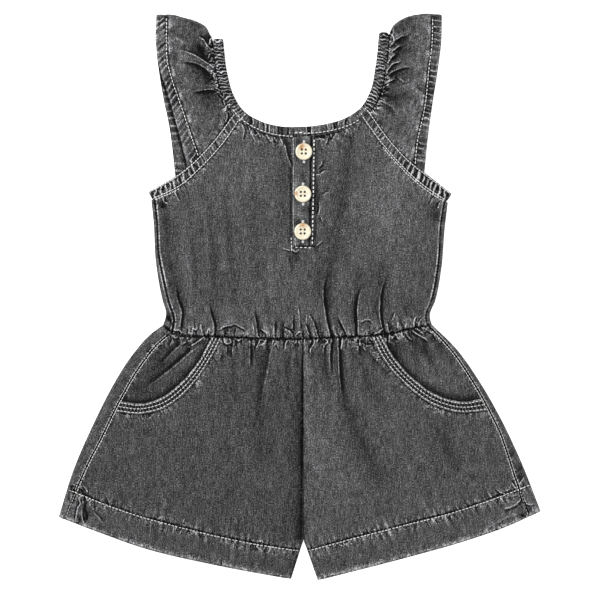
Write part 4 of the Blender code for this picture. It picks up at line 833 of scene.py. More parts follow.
def crease_folds(creases, x, y):
    """The height that creases give, with painted shade in the trough and a pale crest on a sharp one, partly
    wear and partly painted highlight.
    """
    height, wear = np.zeros(np.shape(x)), np.zeros(np.shape(x))
    for crease in creases:
        near, gap, _, strength = beside_crease(crease, x, y)
        trough = np.exp(0.3 - np.sqrt((gap / crease.width) ** 2 + 0.09))
        crest = bell(gap - math.copysign(2.1 * crease.width, crease.ridge), 1.3 * crease.width)
        height[near] += strength * (abs(crease.ridge) * crest - crease.depth * trough)
        sharp = min(1.6 / crease.width, 1.0)
        shade = crease.dark * max(crease.depth, 0.0) * 0.9 * sharp + crease.tone
        wear[near] += strength * (sharp * 0.9 * abs(crease.ridge) * crest - shade * trough)
    return height, wear


def crease_maps(creases, x, y):
    """For each crease, the map of its crisp lines: along it, away in its widths, how dark and how pale."""
    maps = []
    for number, crease in enumerate(creases):
        near, gap, along, strength = beside_crease(crease, x, y)
        line = np.zeros((*np.shape(x), 4))
        width = 0.75 + 0.3 * crease.width
        sharp = min(1.7 / crease.width, 1.0) * (1.0 if crease.depth < 0 else min(crease.depth, 1.0))
        away = gap * math.copysign(1 / width, crease.ridge) + crease.shift
        fading = strength * sharp * (1 - eased((np.abs(gap) / width - 2.5) / 1.5))
        parts = (along + 31 * number, away, fading * crease.dark, fading * crease.pale)
        line[near] = np.stack(parts, axis=-1)
        maps.append(line)
    return maps


class Drape:
    """How a panel lies over its layer: its height at any place, and the wear and painted shade of its folds and
    seams.
    """

    def __init__(self, base, seams, creases=(), seed=0, puff=PUFF, shape=None, worn=None):
        self.base, self.seams, self.creases, self.seed, self.puff = base, seams, creases, seed, puff
        self.shape, self.worn = shape, worn

    def at(self, x, y):
        x, y = np.asarray(x, float), np.asarray(y, float)
        folds, wear = crease_folds(self.creases, x, y)
        height = np.full(np.shape(x), float(self.base))
        nearest = np.full(np.shape(x), FAR)
        for number, (line, seam) in enumerate(self.seams):
            gap, along = line.beside(x, y)
            away = np.abs(gap)
            seed = self.seed + 20 * number
            uneven = 1 + 0.35 * wander(along / 5, seed)
            height -= seam.groove * bell(away, seam.width, 1.6)
            height += seam.roll * uneven * bell(away - seam.offset, 1.2)
            patchy = np.clip(0.5 + 0.9 * wander(along / 1.6, seed + 5), 0, 1.5)
            wear += seam.worn * patchy * bell(away - seam.offset, 0.7)
            # A wide groove gets painted shade.
            if seam.width > WIDE_GROOVE:
                wear -= 0.9 * min(seam.groove, 1.0) * bell(away, 0.8 * seam.width)
            shown = 1.0 if seam.side == 0 else gap * seam.side > 0
            for part, ripples in enumerate(seam.ripples):
                crests = billows(along + ripples.slant * gap, ripples.pitch, seed + 7 * part, ripples.pleated)
                spread = np.clip(1 + 0.7 * wander(along / ripples.pitch, seed + 11 + part), 0.3, 2)
                reach = ripples.reach * spread
                stands = shown * ripples.height * crests * bell(away, reach, 1.5)
                folds += stands
                # Ripple crests wear pale, and their valleys get painted shade.
                wear += stands * RIPPLE_WEAR_AND_SHADE / (1 + ripples.pitch / 8)
            if seam.edge:
                nearest = np.minimum(nearest, away)
        height += folds + self.puff * (1 - np.exp(-nearest / PUFF_REACH))
        broad = BROAD_WAVES * rumple(x, y, BROAD_WAVE_SPAN, self.seed + 3)
        height += broad + SMALL_WAVES * rumple(x, y, SMALL_WAVE_SPAN, self.seed + 4)
        if self.shape is not None:
            height += self.shape(x, y)
        if self.worn is not None:
            wear += self.worn(x, y)
        return height, np.clip(wear, -MOST_WEAR_AND_SHADE, MOST_WEAR_AND_SHADE)

    def height(self, x, y):
        return self.at(x, y)[0]

    def lines(self, x, y):
        """The maps of the finest lines: puckers along the seams, then creases. See Lines."""
        x, y = np.asarray(x, float), np.asarray(y, float)
        puckers = []
        for number, (line, seam) in enumerate(self.seams):
            fine = seam.puckers
            if fine is None:
                continue
            gap, along = line.beside(x, y)
            uneven = np.clip(0.8 + 0.45 * wander(along / 7, self.seed + number), 0.15, 1.4)
            strength = fine.amount * uneven * bell(gap, fine.reach, 2.4)
            strength = strength * (1.0 if seam.side == 0 else gap * seam.side > 0)
            turns = (along + fine.slant * gap) / fine.pitch + 41 * number + self.seed
            away = (gap - fine.shift) / PUCKER_SPAN
            flank = fine.flank * uneven * bell(gap, 3.0, 4)
            puckers.append(np.stack([turns, away, strength, fine.even * strength, flank], axis=-1))
        return Lines(puckers, crease_maps(self.creases, x, y), np.shape(x))


class Lines:
    """Maps of the finest lines on a sheet: how far along and away from each seam and crease a point lies."""

    def __init__(self, puckers, creases, shape):
        self.puckers = np.stack([np.zeros((*shape, 5)), *puckers])
        self.creases = np.stack([np.zeros((*shape, 4)), *creases])

    def at(self, places):
        """The maps at chosen points, as lists."""
        found = Lines([], [], ())
        chosen = (slice(None), *places)
        found.puckers, found.creases = self.puckers[chosen], self.creases[chosen]
        return found

    def kept(self, share):
        """The same maps, as strong as a share says at each point."""
        self.puckers[..., 2:] *= np.asarray(share)[..., None]
        self.creases[..., 2:] *= np.asarray(share)[..., None]
        return self

    def mirrored(self):
        self.puckers, self.creases = self.puckers[:, :, ::-1], self.creases[:, :, ::-1]
        return self

    @staticmethod
    def joined(parts):
        """The maps of parts of a sheet, one after another along its rows."""
        found = Lines([], [], ())
        for kind in ("puckers", "creases"):
            maps = [getattr(part, kind) for part in parts]
            most = max(len(one) for one in maps)
            padded = [np.concatenate([one, np.zeros((most - len(one), *one.shape[1:]))]) for one in maps]
            setattr(found, kind, np.concatenate(padded, axis=1))
        return found

    def write(self, data, corners):
        """Puts the maps on a mesh. Each face takes those of its strongest seam and crease."""
        starts = np.zeros(len(data.polygons), int)
        data.polygons.foreach_get("loop_start", starts)
        totals = np.diff(np.append(starts, len(corners)))
        amounts = {"puckers": ("pucker", "ladder", "flank"), "creases": ("crease", "crest")}
        for kind, maps in (("puckers", self.puckers), ("creases", self.creases)):
            strongest = np.add.reduceat(maps[:, corners, 2:].sum(axis=-1), starts, axis=1).argmax(axis=0)
            chosen = maps[np.repeat(strongest, totals), corners, :2]
            data.uv_layers.new(name=kind).data.foreach_set("uv", chosen.ravel())
            for place, name in enumerate(amounts[kind], 2):
                values = maps[..., place].max(axis=0).astype(np.float32)
                data.attributes.new(name, "FLOAT", "POINT").data.foreach_set("value", values)


# Meshes


def add_object(name, mesh, material):
    made = bpy.data.objects.new(name, mesh)
    bpy.context.scene.collection.objects.link(made)
    mesh.materials.append(material)
    mesh.polygons.foreach_set("use_smooth", [True] * len(mesh.polygons))
    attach(made, "root")
    return made


def mesh_data(mesh, name):
    data = bpy.data.meshes.new(name)
    mesh.to_mesh(data)
    mesh.free()
    return data


def finished(mesh, name, wear, weave, lines):
    """The mesh with its wear and painted shade, the map of its weave and those of its finest lines, given for
    each vertex.
    """
    data = mesh_data(mesh, name)
    data.attributes.new("wear", "FLOAT", "POINT").data.foreach_set("value", np.asarray(wear, np.float32))
    corners = np.zeros(len(data.loops), int)
    data.loops.foreach_get("vertex_index", corners)
    data.uv_layers.new(name="weave").data.foreach_set("uv", (np.asarray(weave)[corners] * MM).ravel())
    lines.write(data, corners)
    return data


def grid_mesh(points, columns):
    """Faces on a grid of points, and each vertex's row and column. The last column may be the first again."""
    rows = len(points) - 1
    mesh = bmesh.new()
    bmesh.ops.create_grid(mesh, x_segments=columns, y_segments=rows, size=0.5)
    across = [round((vert.co.x + 0.5) * columns) % points.shape[1] for vert in mesh.verts]
    along = [round((vert.co.y + 0.5) * rows) for vert in mesh.verts]
    for vert, point in zip(mesh.verts, points[along, across]):
        vert.co = point * MM
    return mesh, along, across


def cloth_sheet(name, points, wear, weave, lines, material, wall, faces_up=True, face=None):
    """A sheet whose outer side lies on a grid of points, with its wall on the inner side.

    The face, or else the middle one, says which way the sheet faces.
    """
    rows, columns = points.shape[0] - 1, points.shape[1] - 1
    row, column = face or (rows // 2, columns // 2)
    corner = points[row, column]
    facing = np.cross(points[row, column + 1] - corner, points[row + 1, column] - corner)
    if (facing[2] > 0) != faces_up:
        points, wear, weave, lines = points[:, ::-1], wear[:, ::-1], weave[:, ::-1], lines.mirrored()
    mesh, along, across = grid_mesh(points, columns)
    data = finished(mesh, name, wear[along, across], weave[along, across], lines.at((along, across)))
    made = add_object(name, data, material)
    solidify = made.modifiers.new("wall", "SOLIDIFY")
    solidify.thickness = wall * MM
    solidify.offset = -1.0
    return made


def closed_tube(name, rings, wear, weave, lines, material):
    """A tube through rings of points, closed at both ends."""
    columns = rings.shape[1]
    mesh, along, across = grid_mesh(rings, columns)
    tags = mesh.verts.layers.int.new("place")
    for vert, row, column in zip(mesh.verts, along, across):
        vert[tags] = row * columns + column
    bmesh.ops.remove_doubles(mesh, verts=list(mesh.verts), dist=WELD)
    bmesh.ops.holes_fill(mesh, edges=[edge for edge in mesh.edges if edge.is_boundary], sides=0)
    bmesh.ops.recalc_face_normals(mesh, faces=list(mesh.faces))
    places = np.array([vert[tags] for vert in mesh.verts])
    mesh.verts.layers.int.remove(tags)
    lines = lines.at((places // columns, places % columns))
    data = finished(mesh, name, wear.ravel()[places], weave.reshape(-1, 2)[places], lines)
    return add_object(name, data, material)


def measured_weave(points):
    """A map on the cloth without stretch: across from the middle column, and along from the first row."""
    across, along = np.zeros(points.shape[:2]), np.zeros(points.shape[:2])
    across[:, 1:] = np.cumsum(np.linalg.norm(np.diff(points, axis=1), axis=2), axis=1)
    along[1:] = np.cumsum(np.linalg.norm(np.diff(points, axis=0), axis=2), axis=0)
    return np.stack([across - across[:, [points.shape[1] // 2]], along], axis=-1)


# Materials

# The sockets of a Mix node that mixes colours.
MIX_SHARE, MIX_FIRST, MIX_SECOND, MIX_RESULT = 0, 6, 7, 2


class Value:
    """A socket of numbers: an expression on values adds its Math nodes."""

    def __init__(self, finish, socket):
        self.finish, self.socket = finish, socket

    def math(self, operation, first, second=0.0, clamp=False):
        settings = {"operation": operation, "use_clamp": clamp}
        return self.finish.value("ShaderNodeMath", settings, {0: first, 1: second})

    def __add__(self, other):
        return self.math("ADD", self, other)

    def __sub__(self, other):
        return self.math("SUBTRACT", self, other)

    def __rsub__(self, other):
        return self.math("SUBTRACT", other, self)

    def __mul__(self, other):
        return self.math("MULTIPLY", self, other)

    def __truediv__(self, other):
        return self.math("DIVIDE", self, other)

    __radd__, __rmul__ = __add__, __mul__

    def sine(self):
        return self.math("SINE", self)

    def size(self):
        return self.math("ABSOLUTE", self)

    def above(self, other):
        return self.math("MAXIMUM", self, other)

    def below(self, other):
        return self.math("MINIMUM", self, other)

    def clamped(self):
        return self.math("ADD", self, 0.0, True)


class Finish:
    """A material that is being made."""

    def __init__(self, name, roughness):
        self.material = bpy.data.materials.new(name)
        self.material.use_nodes = True
        self.tree = self.material.node_tree
        self.shader = self.tree.nodes["Principled BSDF"]
        self.shader.inputs["Roughness"].default_value = roughness

    def node(self, kind, settings=None, sockets=None):
        """A node of a type with its settings, then the values or links of its sockets."""
        made = self.tree.nodes.new(kind)
        for name, value in (settings or {}).items():
            if name == "stops":
                ramp = made.color_ramp
                while len(ramp.elements) < len(value):
                    ramp.elements.new(1.0)
                for element, (place, colour) in zip(ramp.elements, value):
                    element.position, element.color = place, colour
            else:
                setattr(made, name, value)
        for key, value in (sockets or {}).items():
            self.join(value, made.inputs[key])
        return made

    def join(self, value, socket):
        if isinstance(value, Value):
            self.tree.links.new(value.socket, socket)
        elif isinstance(value, bpy.types.NodeSocket):
            self.tree.links.new(value, socket)
        else:
            socket.default_value = value

    def value(self, kind, settings=None, sockets=None, output=0):
        return Value(self, self.node(kind, settings, sockets).outputs[output])

    def noise(self, vector, scale, detail=2.0, roughness=0.5):
        """Noise about 0, from about -0.5 to 0.5."""
        settings = {"noise_dimensions": "3D"}
        sockets = {"Vector": vector, "Scale": scale, "Detail": detail, "Roughness": roughness}
        return self.value("ShaderNodeTexNoise", settings, sockets) - 0.5

    def stretched(self, vector, sizes):
        """The vector in units of the sizes, in millimetres."""
        scale = [1 / (size * MM) for size in sizes]
        return self.node("ShaderNodeMapping", None, {"Vector": vector, "Scale": scale}).outputs[0]

    def parts(self, vector):
        """The first two parts of a vector."""
        split = self.node("ShaderNodeSeparateXYZ", None, {0: vector})
        return Value(self, split.outputs[0]), Value(self, split.outputs[1])

    def mix(self, share, first, second):
        """From the first colour to the second by a share."""
        sockets = {MIX_SHARE: share, MIX_FIRST: first, MIX_SECOND: second}
        return self.node("ShaderNodeMix", {"data_type": "RGBA"}, sockets).outputs[MIX_RESULT]

    def bump(self, height, strength, distance):
        sockets = {"Height": height, "Strength": strength, "Distance": distance * MM}
        self.join(self.node("ShaderNodeBump", None, sockets).outputs[0], self.shader.inputs["Normal"])

    def colour(self, value):
        self.join(value, self.shader.inputs["Base Color"])


def tinted(colour, amount):
    return (*[min(channel * amount, 1.0) for channel in colour[:3]], 1.0)


# The twill: from one diagonal wale and one cross yarn to the next, in millimetres.
WALE_PITCH = 0.95
YARN_PITCH = 0.85


def denim_finish(name, base, tone=0.0):
    """Washed denim: slubs along the grain, twill across it, pale wear and painted highlight on what stands
    proud, painted shade in hollows and grooves, fine puckers.
    """
    existing = bpy.data.materials.get(name)
    if existing is not None:
        return existing
    finish = Finish(name, 0.93)
    finish.shader.inputs["Specular IOR Level"].default_value = 0.15
    weave = finish.node("ShaderNodeUVMap", {"uv_map": "weave"}).outputs[0]
    object_place = finish.node("ShaderNodeTexCoord").outputs["Object"]
    wear, pucker, ladder, flank, crease, crest = (
        finish.value("ShaderNodeAttribute", {"attribute_name": source}, None, "Fac")
        for source in ("wear", "pucker", "ladder", "flank", "crease", "crest")
    )
    speckle = finish.noise(finish.stretched(weave, (0.6, 1.15, 1.0)), 1.0, 1.0)
    slubs = finish.noise(finish.stretched(weave, (0.75, 7.0, 1.0)), 1.0, 1.0)
    picks = finish.noise(finish.stretched(weave, (5.0, 0.7, 1.0)), 1.0, 1.0)
    streaks = finish.noise(finish.stretched(weave, (5.0, 22.0, 1.0)), 1.0, 2.0)
    patches = finish.noise(finish.stretched(object_place, (2.6, 3.6, 2.6)), 1.0, 2.0)
    clouds = finish.noise(finish.stretched(object_place, (13.0, 24.0, 13.0)), 1.0, 2.0)
    right, up = finish.parts(finish.stretched(weave, (1.0, 1.0, 1.0)))
    wales = ((right * 1.0 + up * 0.62 + slubs * 0.8) * (2 * math.pi / WALE_PITCH)).sine()
    yarns = ((right * 0.25 - up * 1.0 + picks * 0.8) * (2 * math.pi / YARN_PITCH)).sine()
    twill = wales * 0.6 + yarns * 0.4
    # Pale where the attribute is above 0: wear, and on crests and edges also painted highlight.
    rubbed_and_lit = wear.above(0.0) * (0.8 + speckle * 1.8 + patches * 0.9).above(0.1)
    crests, dips, groove = pucker_lines(finish, pucker, ladder, flank)
    fold_crests, fold_dips = crease_lines(finish, crease, crest, speckle, patches)
    # Ridges are pale lines, partly wear and partly painted highlight; hollows are painted shadow.
    ridges, hollows = crests + fold_crests, dips + fold_dips + groove * 2.0
    # Painted shade where the attribute is below 0, weaker on pale crests.
    painted_shade = wear.below(0.0) * (1.0 - ridges.clamped() * 0.75)
    threads = speckle * 1.08 + slubs * 0.52 + picks * 0.03
    grain = threads + patches * 0.16 + streaks * 0.2 + clouds * 0.06 + twill * 0.03
    shade = (0.335 + tone + grain + rubbed_and_lit * 0.36 + painted_shade * 0.3 + ridges * 0.38 - hollows * 0.21).clamped()
    steps = ((0.0, 0.03), (0.06, 0.08), (0.2, 0.36), (0.345, 1.0), (0.5, 2.3), (0.68, 4.7), (1.0, 11.0))
    stops = [(place, tinted(base, amount)) for place, amount in steps]
    finish.colour(finish.node("ShaderNodeValToRGB", {"stops": stops}, {0: shade}).outputs[0])
    relief = twill * 0.5 + slubs * 1.2 + speckle * 1.0 + ridges * 1.6 - hollows * 1.4
    finish.bump(relief, 0.5, 0.14)
    return finish.material


def pucker_lines(finish, pucker, ladder, flank):
    """Pale crests that cross a seam, partly wear and partly painted highlight, with painted shadow in the dips
    beside them, broken and bent or even as a ladder's, and the painted shadow of its groove.
    """
    place = finish.node("ShaderNodeUVMap", {"uv_map": "puckers"}).outputs[0]
    turns, away = finish.parts(place)
    bends = finish.noise(place, 1.0, 2.0)
    rungs = ((turns + bends * 0.9) * math.pi).sine().size()
    share = (ladder / pucker.above(0.001)).clamped()
    broken_crests = (1.3 - bends.size() * 40.0).clamped()
    broken_dips = (1.3 - (bends - 0.065).size() * 30.0).clamped()
    even_crests = (1.3 - rungs * 3.8).clamped()
    even_dips = ((rungs - 0.42) * 4.0).clamped()
    crests = (broken_crests + (even_crests - broken_crests) * share) * pucker
    dips = (broken_dips + (even_dips - broken_dips) * share) * pucker
    gap = away.size() * PUCKER_SPAN
    # Painted shadow of the groove along the seam.
    groove = (1.45 - gap).clamped() * (0.85 + bends * 2.4) * pucker
    flanks = (1.25 - (gap - 1.35).size() * 1.7).clamped() * flank * (0.75 + bends * 3.0)
    return crests + flanks.above(0.0), dips, groove


def crease_lines(finish, crease, crest, speckle, patches):
    """The sharp line of painted shadow in a crease, and the pale one on the crest beside it, partly wear and
    partly painted highlight.
    """
    place = finish.node("ShaderNodeUVMap", {"uv_map": "creases"}).outputs[0]
    _, away = finish.parts(place)
    away = away + patches * 0.8
    dark = (1.15 - away.size()).clamped() * crease
    pale = (1.15 - (away - 1.3).size() * 1.9).clamped() * crest * (1.0 + speckle * 1.6 + patches * 1.2)
    return pale.above(0.0), dark * 1.7


def thread_finish(name, colour):
    """Matt cotton thread, a little uneven in tone along its way."""
    existing = bpy.data.materials.get(name)
    if existing is not None:
        return existing
    finish = Finish(name, 0.85)
    finish.shader.inputs["Specular IOR Level"].default_value = 0.2
    place = finish.node("ShaderNodeTexCoord").outputs["Object"]
    uneven = finish.noise(finish.stretched(place, (2.4, 2.4, 2.4)), 1.0, 2.0)
    fibres = finish.noise(finish.stretched(place, (0.3, 0.3, 0.3)), 1.0, 1.0)
    share = (0.5 + uneven * 1.5 + fibres * 0.8).clamped()
    finish.colour(finish.mix(share, tinted(colour, 0.75), tinted(colour, 1.3)))
    finish.bump(fibres, 0.4, 0.1)
    return finish.material


Amber = namedtuple("Amber", "x y radius strength")
HOLE_SPACING = 1.55
HOLE_RADIUS = 0.78
HOLE_SHADE_RADIUS = HOLE_RADIUS * 1.22
HOLES = [(x, y) for x in (-HOLE_SPACING, HOLE_SPACING) for y in (-HOLE_SPACING, HOLE_SPACING)]


def button_finish(name, centre, colour, amber_colour, ambers):
    """Cream horn with clouds in it, amber streaks at their places on the button's face, and painted shadow in
    its holes.
    """
    finish = Finish(name, 0.28)
    finish.shader.inputs["Coat Weight"].default_value = 0.25
    finish.shader.inputs["Coat Roughness"].default_value = 0.2
    place = finish.node("ShaderNodeTexCoord").outputs["Object"]
    clouds = finish.noise(finish.stretched(place, (5.0, 3.0, 5.0)), 1.0, 3.0)
    veins = finish.noise(finish.stretched(place, (0.9, 3.2, 2.0)), 1.0, 2.0)
    shade = (0.5 + clouds * 1.3 + veins * 0.7).clamped()
    found = finish.mix(shade, tinted(colour, 0.84), tinted(colour, 1.12))

    def distance(x, y, radius):
        """How far a point of the face is from a place on it, in radii."""
        spot = ((centre[0] + x) * MM, (centre[1] + y) * MM, 0.0)
        flat = finish.node("ShaderNodeVectorMath", {"operation": "MULTIPLY"}, {0: place, 1: (1.0, 1.0, 0.0)})
        away = finish.node("ShaderNodeVectorMath", {"operation": "DISTANCE"}, {0: flat.outputs[0], 1: spot})
        return Value(finish, away.outputs["Value"]) / (radius * MM)

    for amber in ambers:
        gap = distance(amber.x, amber.y, amber.radius)
        share = ((1.25 - gap + veins * 1.4 + clouds) * 0.9).clamped() * amber.strength
        found = finish.mix(share, found, amber_colour)
    # Painted shadow in the holes: near-black round each one's centre.
    for x, y in HOLES:
        inside = ((1.0 - distance(x, y, HOLE_SHADE_RADIUS)) * 9.0).clamped()
        found = finish.mix(inside, found, (0.012, 0.009, 0.007, 1.0))
    finish.colour(found)
    finish.join(0.3 + clouds * 0.2, finish.shader.inputs["Roughness"])
    return finish.material


# Bodice


def bodice_patch():
    """The bodice as it lies, from the waist to the armhole bindings and the neck casing."""
    left, right = BODICE["left"], BODICE["right"]
    neck = curve([*left.neck, *right.neck[-2::-1]]).offset(TUCK - CASING_WIDTH / 2)
    start, end = (neck.nearest(one.armhole_lower[0]) for one in (left, right))
    neckline = curve([left.armhole_lower[0], *neck.points[start + 2 : end - 1 : 6], right.armhole_lower[0]])
    top = Chain(
        (curve(left.armhole_lower[::-1]), ARMHOLE_SHARE),
        (neckline, 1 - 2 * ARMHOLE_SHARE),
        (curve(right.armhole_lower), ARMHOLE_SHARE),
    )
    return Patch(WAIST_LINE, top, curve(left.fold), curve(right.fold))


def side_offset(offsets, v):
    return np.interp(v, np.linspace(0, 1, len(offsets)), offsets)


def across_lengths(patch, v):
    """The length of the patch's row at height v."""
    u = np.linspace(0, 1, 60)
    rows = patch.at(u[:, None], np.ravel(v)[None, :])
    return np.linalg.norm(np.diff(rows, axis=0), axis=-1).sum(axis=0).reshape(np.shape(v))


def rolled_row(patch, v, distance, side):
    """The points at a distance in from the side fold, along the rows."""
    share = distance / across_lengths(patch, v)
    return patch.at(share if side == "left" else 1 - share, v)


def seam_line(patch, offsets, side):
    """The seam on the front where a rolled back meets it, upwards."""
    v = np.linspace(0, 1, 60)
    return Line(rolled_row(patch, v, side_offset(offsets, v), side))


def bodice_seams(patch):
    """The lines round the bodice front, each with its kind of seam."""
    return [
        (WAIST_LINE, SEAMS["bodice_waist"]),
        *[(seam_line(patch, BODICE[side].seam_offsets, side), SEAMS["bodice_side"]) for side in SIDES],
        *[(curve(BODICE[side].armhole_lower), SEAMS["armhole"]) for side in SIDES],
        (patch.top.lines[1], SEAMS["neck"]),
    ]


def bodice_drape():
    return Drape(TOP, bodice_seams(bodice_patch()), BODICE_CREASES, SEEDS["bodice_front"])


def bodice_front_points(columns, rows):
    patch = bodice_patch()
    u, v = np.meshgrid(denser_at_ends(columns, 0.2), denser_at_ends(rows, 0.6))
    length = across_lengths(patch, v)
    start, end = ((side_offset(BODICE[side].seam_offsets, v) + SEAM_GAP) / length for side in SIDES)
    return patch.at(start + u * (1 - end - start), 0.001 + v * 0.998)


def laid_sheet(name, flat_points, drape, material, wall):
    """A sheet that lies face up with the drape's height and wear."""
    x, y = flat_points[..., 0], flat_points[..., 1]
    height, wear = drape.at(x, y)
    points = stacked(flat_points, np.maximum(height, wall + LEAST_GAP))
    return cloth_sheet(name, points, wear, flat_points, drape.lines(x, y), material, wall)


def rolled_back(node, patch, rolls, grid, front_drape, back_seams, material, wall):
    """A back panel flat on the surface that rolls round its side folds to the seams on the front.

    rolls gives the seam offsets of its left side, and of its right side too unless that ends in a plain seam.
    """
    columns, rows = grid
    shares = denser_at_ends(rows, 0.4)
    lengths = across_lengths(patch, shares)
    under = Drape(0.0, back_seams, (), SEEDS[node], 0.0)
    sides = {side: [] for side in SIDES}
    for side, offsets in rolls.items():
        offset = side_offset(offsets, shares) - SEAM_GAP
        for step in np.linspace(0, 1, RING_STEPS // 2 + 1)[:-1]:
            distance = offset + step * (ROLL - offset)
            sides[side].append((rolled_row(patch, shares, distance, side), 2 * ROLL, 1.0 - step))
        for angle in np.linspace(math.pi / 2, -math.pi / 2, RING_STEPS // 2 + 1):
            distance = np.full_like(shares, ROLL - ROLL * math.cos(angle))
            share = 0.0 if angle < math.pi / 2 else 0.02
            row = rolled_row(patch, shares, distance, side)
            sides[side].append((row, ROLL + ROLL * math.sin(angle), share))
    start = ROLL / lengths
    end = 1 - (start if "right" in rolls else 0.0)
    flat = [patch.at(start + step * (end - start), shares) for step in np.linspace(0, 1, columns + 1)]
    inner = flat[1:-1] if "right" in rolls else flat[1:]
    lined = sides["left"] + [(points, 0.0, 0.0) for points in inner] + sides["right"][::-1]
    points = np.stack([one[0] for one in lined], 1)
    height, front = (np.stack([np.full(len(shares), one[part]) for one in lined], 1) for part in (1, 2))
    above, wear_and_shade_above = front_drape.at(points[..., 0], points[..., 1])
    below, wear_and_shade_below = under.at(points[..., 0], points[..., 1])
    dents = np.clip(0.25 - below, 0.0, 1.6)
    on_top = eased(front * 3)
    flatness = eased((ROLL - height) / ROLL)
    shown = on_top * above + (1 - on_top) * (height + flatness * dents)
    folded = bell(height - ROLL, ROLL * 0.8) * (0.15 + 0.25 * wander(shares[:, None] * 50, SEEDS[node]))
    wear = np.clip(np.where(height > ROLL, wear_and_shade_above, wear_and_shade_below) + folded, -MOST_WEAR_AND_SHADE, MOST_WEAR_AND_SHADE)
    placed = stacked(points, shown)
    lines = front_drape.lines(points[..., 0], points[..., 1]).kept(on_top)
    weave = measured_weave(placed)
    return cloth_sheet(f"{node}_cloth", placed, wear, weave, lines, material, wall, faces_up=False)


# Bindings and casings

RIM_POWER = 3.2


class Band:
    """A flattened tube of cloth that folds back on itself: its path, its widths and the folds across it."""

    STEP = 0.42

    def __init__(self, legs, half_width, half_wall, crown, folds, puckers, tight, creases=()):
        points, across = self.path(legs, half_wall)
        along = np.concatenate([[0.0], np.cumsum(np.linalg.norm(np.diff(points, axis=0), axis=1))])
        self.length = along[-1]
        self.along = np.linspace(0, self.length, int(self.length / self.STEP) + 1)
        self.points = between(self.along, along, points)
        self.across = unit(between(self.along, along, across))
        outward = unit(np.cross(np.gradient(self.points, axis=0), self.across))
        self.outward = outward * math.copysign(1, outward[len(outward) // 12, 2])
        self.half_width, self.half_wall, self.crown, self.folds = half_width, half_wall, crown, folds
        self.puckers, self.tight, self.creases = puckers, tight, creases

    def path(self, legs, half_wall):
        """Points of the middle and the way across it, for legs at two heights joined by hairpins."""
        points, across = [], []
        for number, (line, height, turn) in enumerate(legs):
            other = legs[(number + 1) % len(legs)][1] if number + 1 < len(legs) else legs[number - 1][1]
            radius = abs(height - other) / 2
            pull = (radius + half_wall) / line.length
            start = pull if number > 0 else 0.1 / line.length
            end = 1 - pull if number + 1 < len(legs) else 1 - 0.1 / line.length
            t = np.linspace(start, end, POINTS_PER_LEG)
            points.extend(stacked(line.at(t), np.full(len(t), height)))
            across.extend(stacked(turn * line.left(t), np.zeros(len(t))))
            if number + 1 < len(legs):
                tip, heading = points[-1], np.append(line.tangent(t)[-1], 0.0)
                middle = tip + np.array([0.0, 0.0, (other - height) / 2])
                up = np.array([0.0, 0.0, (height - other) / 2])
                for step in range(1, FOLD_STEPS):
                    angle = math.pi * step / FOLD_STEPS
                    points.append(middle + up * math.cos(angle) + heading * radius * math.sin(angle))
                    across.append(across[-1])
        return np.array(points), np.array(across)

    def place(self, along, share):
        """A point on the outer face: along the band, and from -1 to 1 across it."""
        along, share = np.broadcast_arrays(np.asarray(along, float), np.asarray(share, float))
        of_path = (self.points, self.across, self.outward)
        middle, across, outward = (between(along, self.along, values) for values in of_path)
        width = self.width_at(along)
        rise = self.rim(share) + self.crown * (1 - share**2)
        folds = self.folds(along, share * width, middle)
        rise = rise + folds * (1 - np.abs(share) ** 4)
        return middle + across * (share * width)[..., None] + outward * rise[..., None]

    def rim(self, share):
        """Half the height of the tube's section, which is round at both edges and flat between."""
        return self.half_wall * (1 - np.abs(share) ** RIM_POWER) ** 0.5

    def width_at(self, along):
        if callable(self.half_width):
            return self.half_width(along / self.length)
        return np.full(np.shape(along), self.half_width)

    def build(self, name, material, ring_steps=RING_STEPS):
        turn = np.linspace(0, 2 * math.pi, ring_steps, endpoint=False)
        share = np.sign(np.cos(turn)) * np.abs(np.cos(turn)) ** 0.7
        along, shares = np.meshgrid(self.along, share, indexing="ij")
        outer = self.place(along, shares)
        width = self.width_at(along)
        middle = self.points[:, None, :] + self.across[:, None, :] * (shares * width)[..., None]
        inner = middle - self.outward[:, None, :] * self.rim(shares)[..., None]
        on_outer = (np.sin(turn) >= -1e-6)[None, :, None]
        rings = np.where(on_outer, outer, inner)
        shown = on_outer[..., 0] * (self.points[:, None, 2] > ROLL)
        creased, crease_wear_and_shade = crease_folds(self.creases, rings[..., 0], rings[..., 1])
        rings[..., 2] = np.maximum(rings[..., 2] + creased * shown, 0.0)
        folds = self.folds(along, shares * width, middle)
        tight = self.tight(middle)
        # Pale crests of the ribs, partly wear and partly painted highlight; painted shade in their valleys,
        # over the tight gathers and in the creases' troughs.
        worn = folds * 3.0 + 0.05 - 0.16 * tight + crease_wear_and_shade * shown
        wear = np.clip(worn, -MOST_WEAR_AND_SHADE, 1.3) * np.where(on_outer[..., 0], 1.0, 0.2)
        rim = np.abs(np.cos(turn))[None, :] ** 6 * (0.1 + 0.3 * wander(self.along / 2.0, 5))[:, None]
        away = shares * width
        weave = np.stack([away, along], axis=-1)
        uneven = np.clip(0.9 + 0.4 * wander(along / 8, 3), 0.3, 1.4)
        amount = self.puckers.amount * uneven * (1 + 2.7 * tight)
        even = self.puckers.even + (0.7 - self.puckers.even) * tight
        bent = 0.5 * (1 - 0.6 * tight) * wander(along / 7, 4) + 0.35 * tight * wander(along / 3 + away, 6)
        turns = (along + self.puckers.slant * away) / self.puckers.pitch + bent
        across = NO_GROOVE + away / PUCKER_SPAN
        maps = crease_maps(self.creases, rings[..., 0], rings[..., 1])
        creases = [line * shown[..., None] for line in maps]
        fine = np.stack([turns, across, amount, even * amount, 0 * amount], axis=-1)
        lines = Lines([fine], creases, away.shape)
        return closed_tube(name, rings, wear + rim, weave, lines, material)


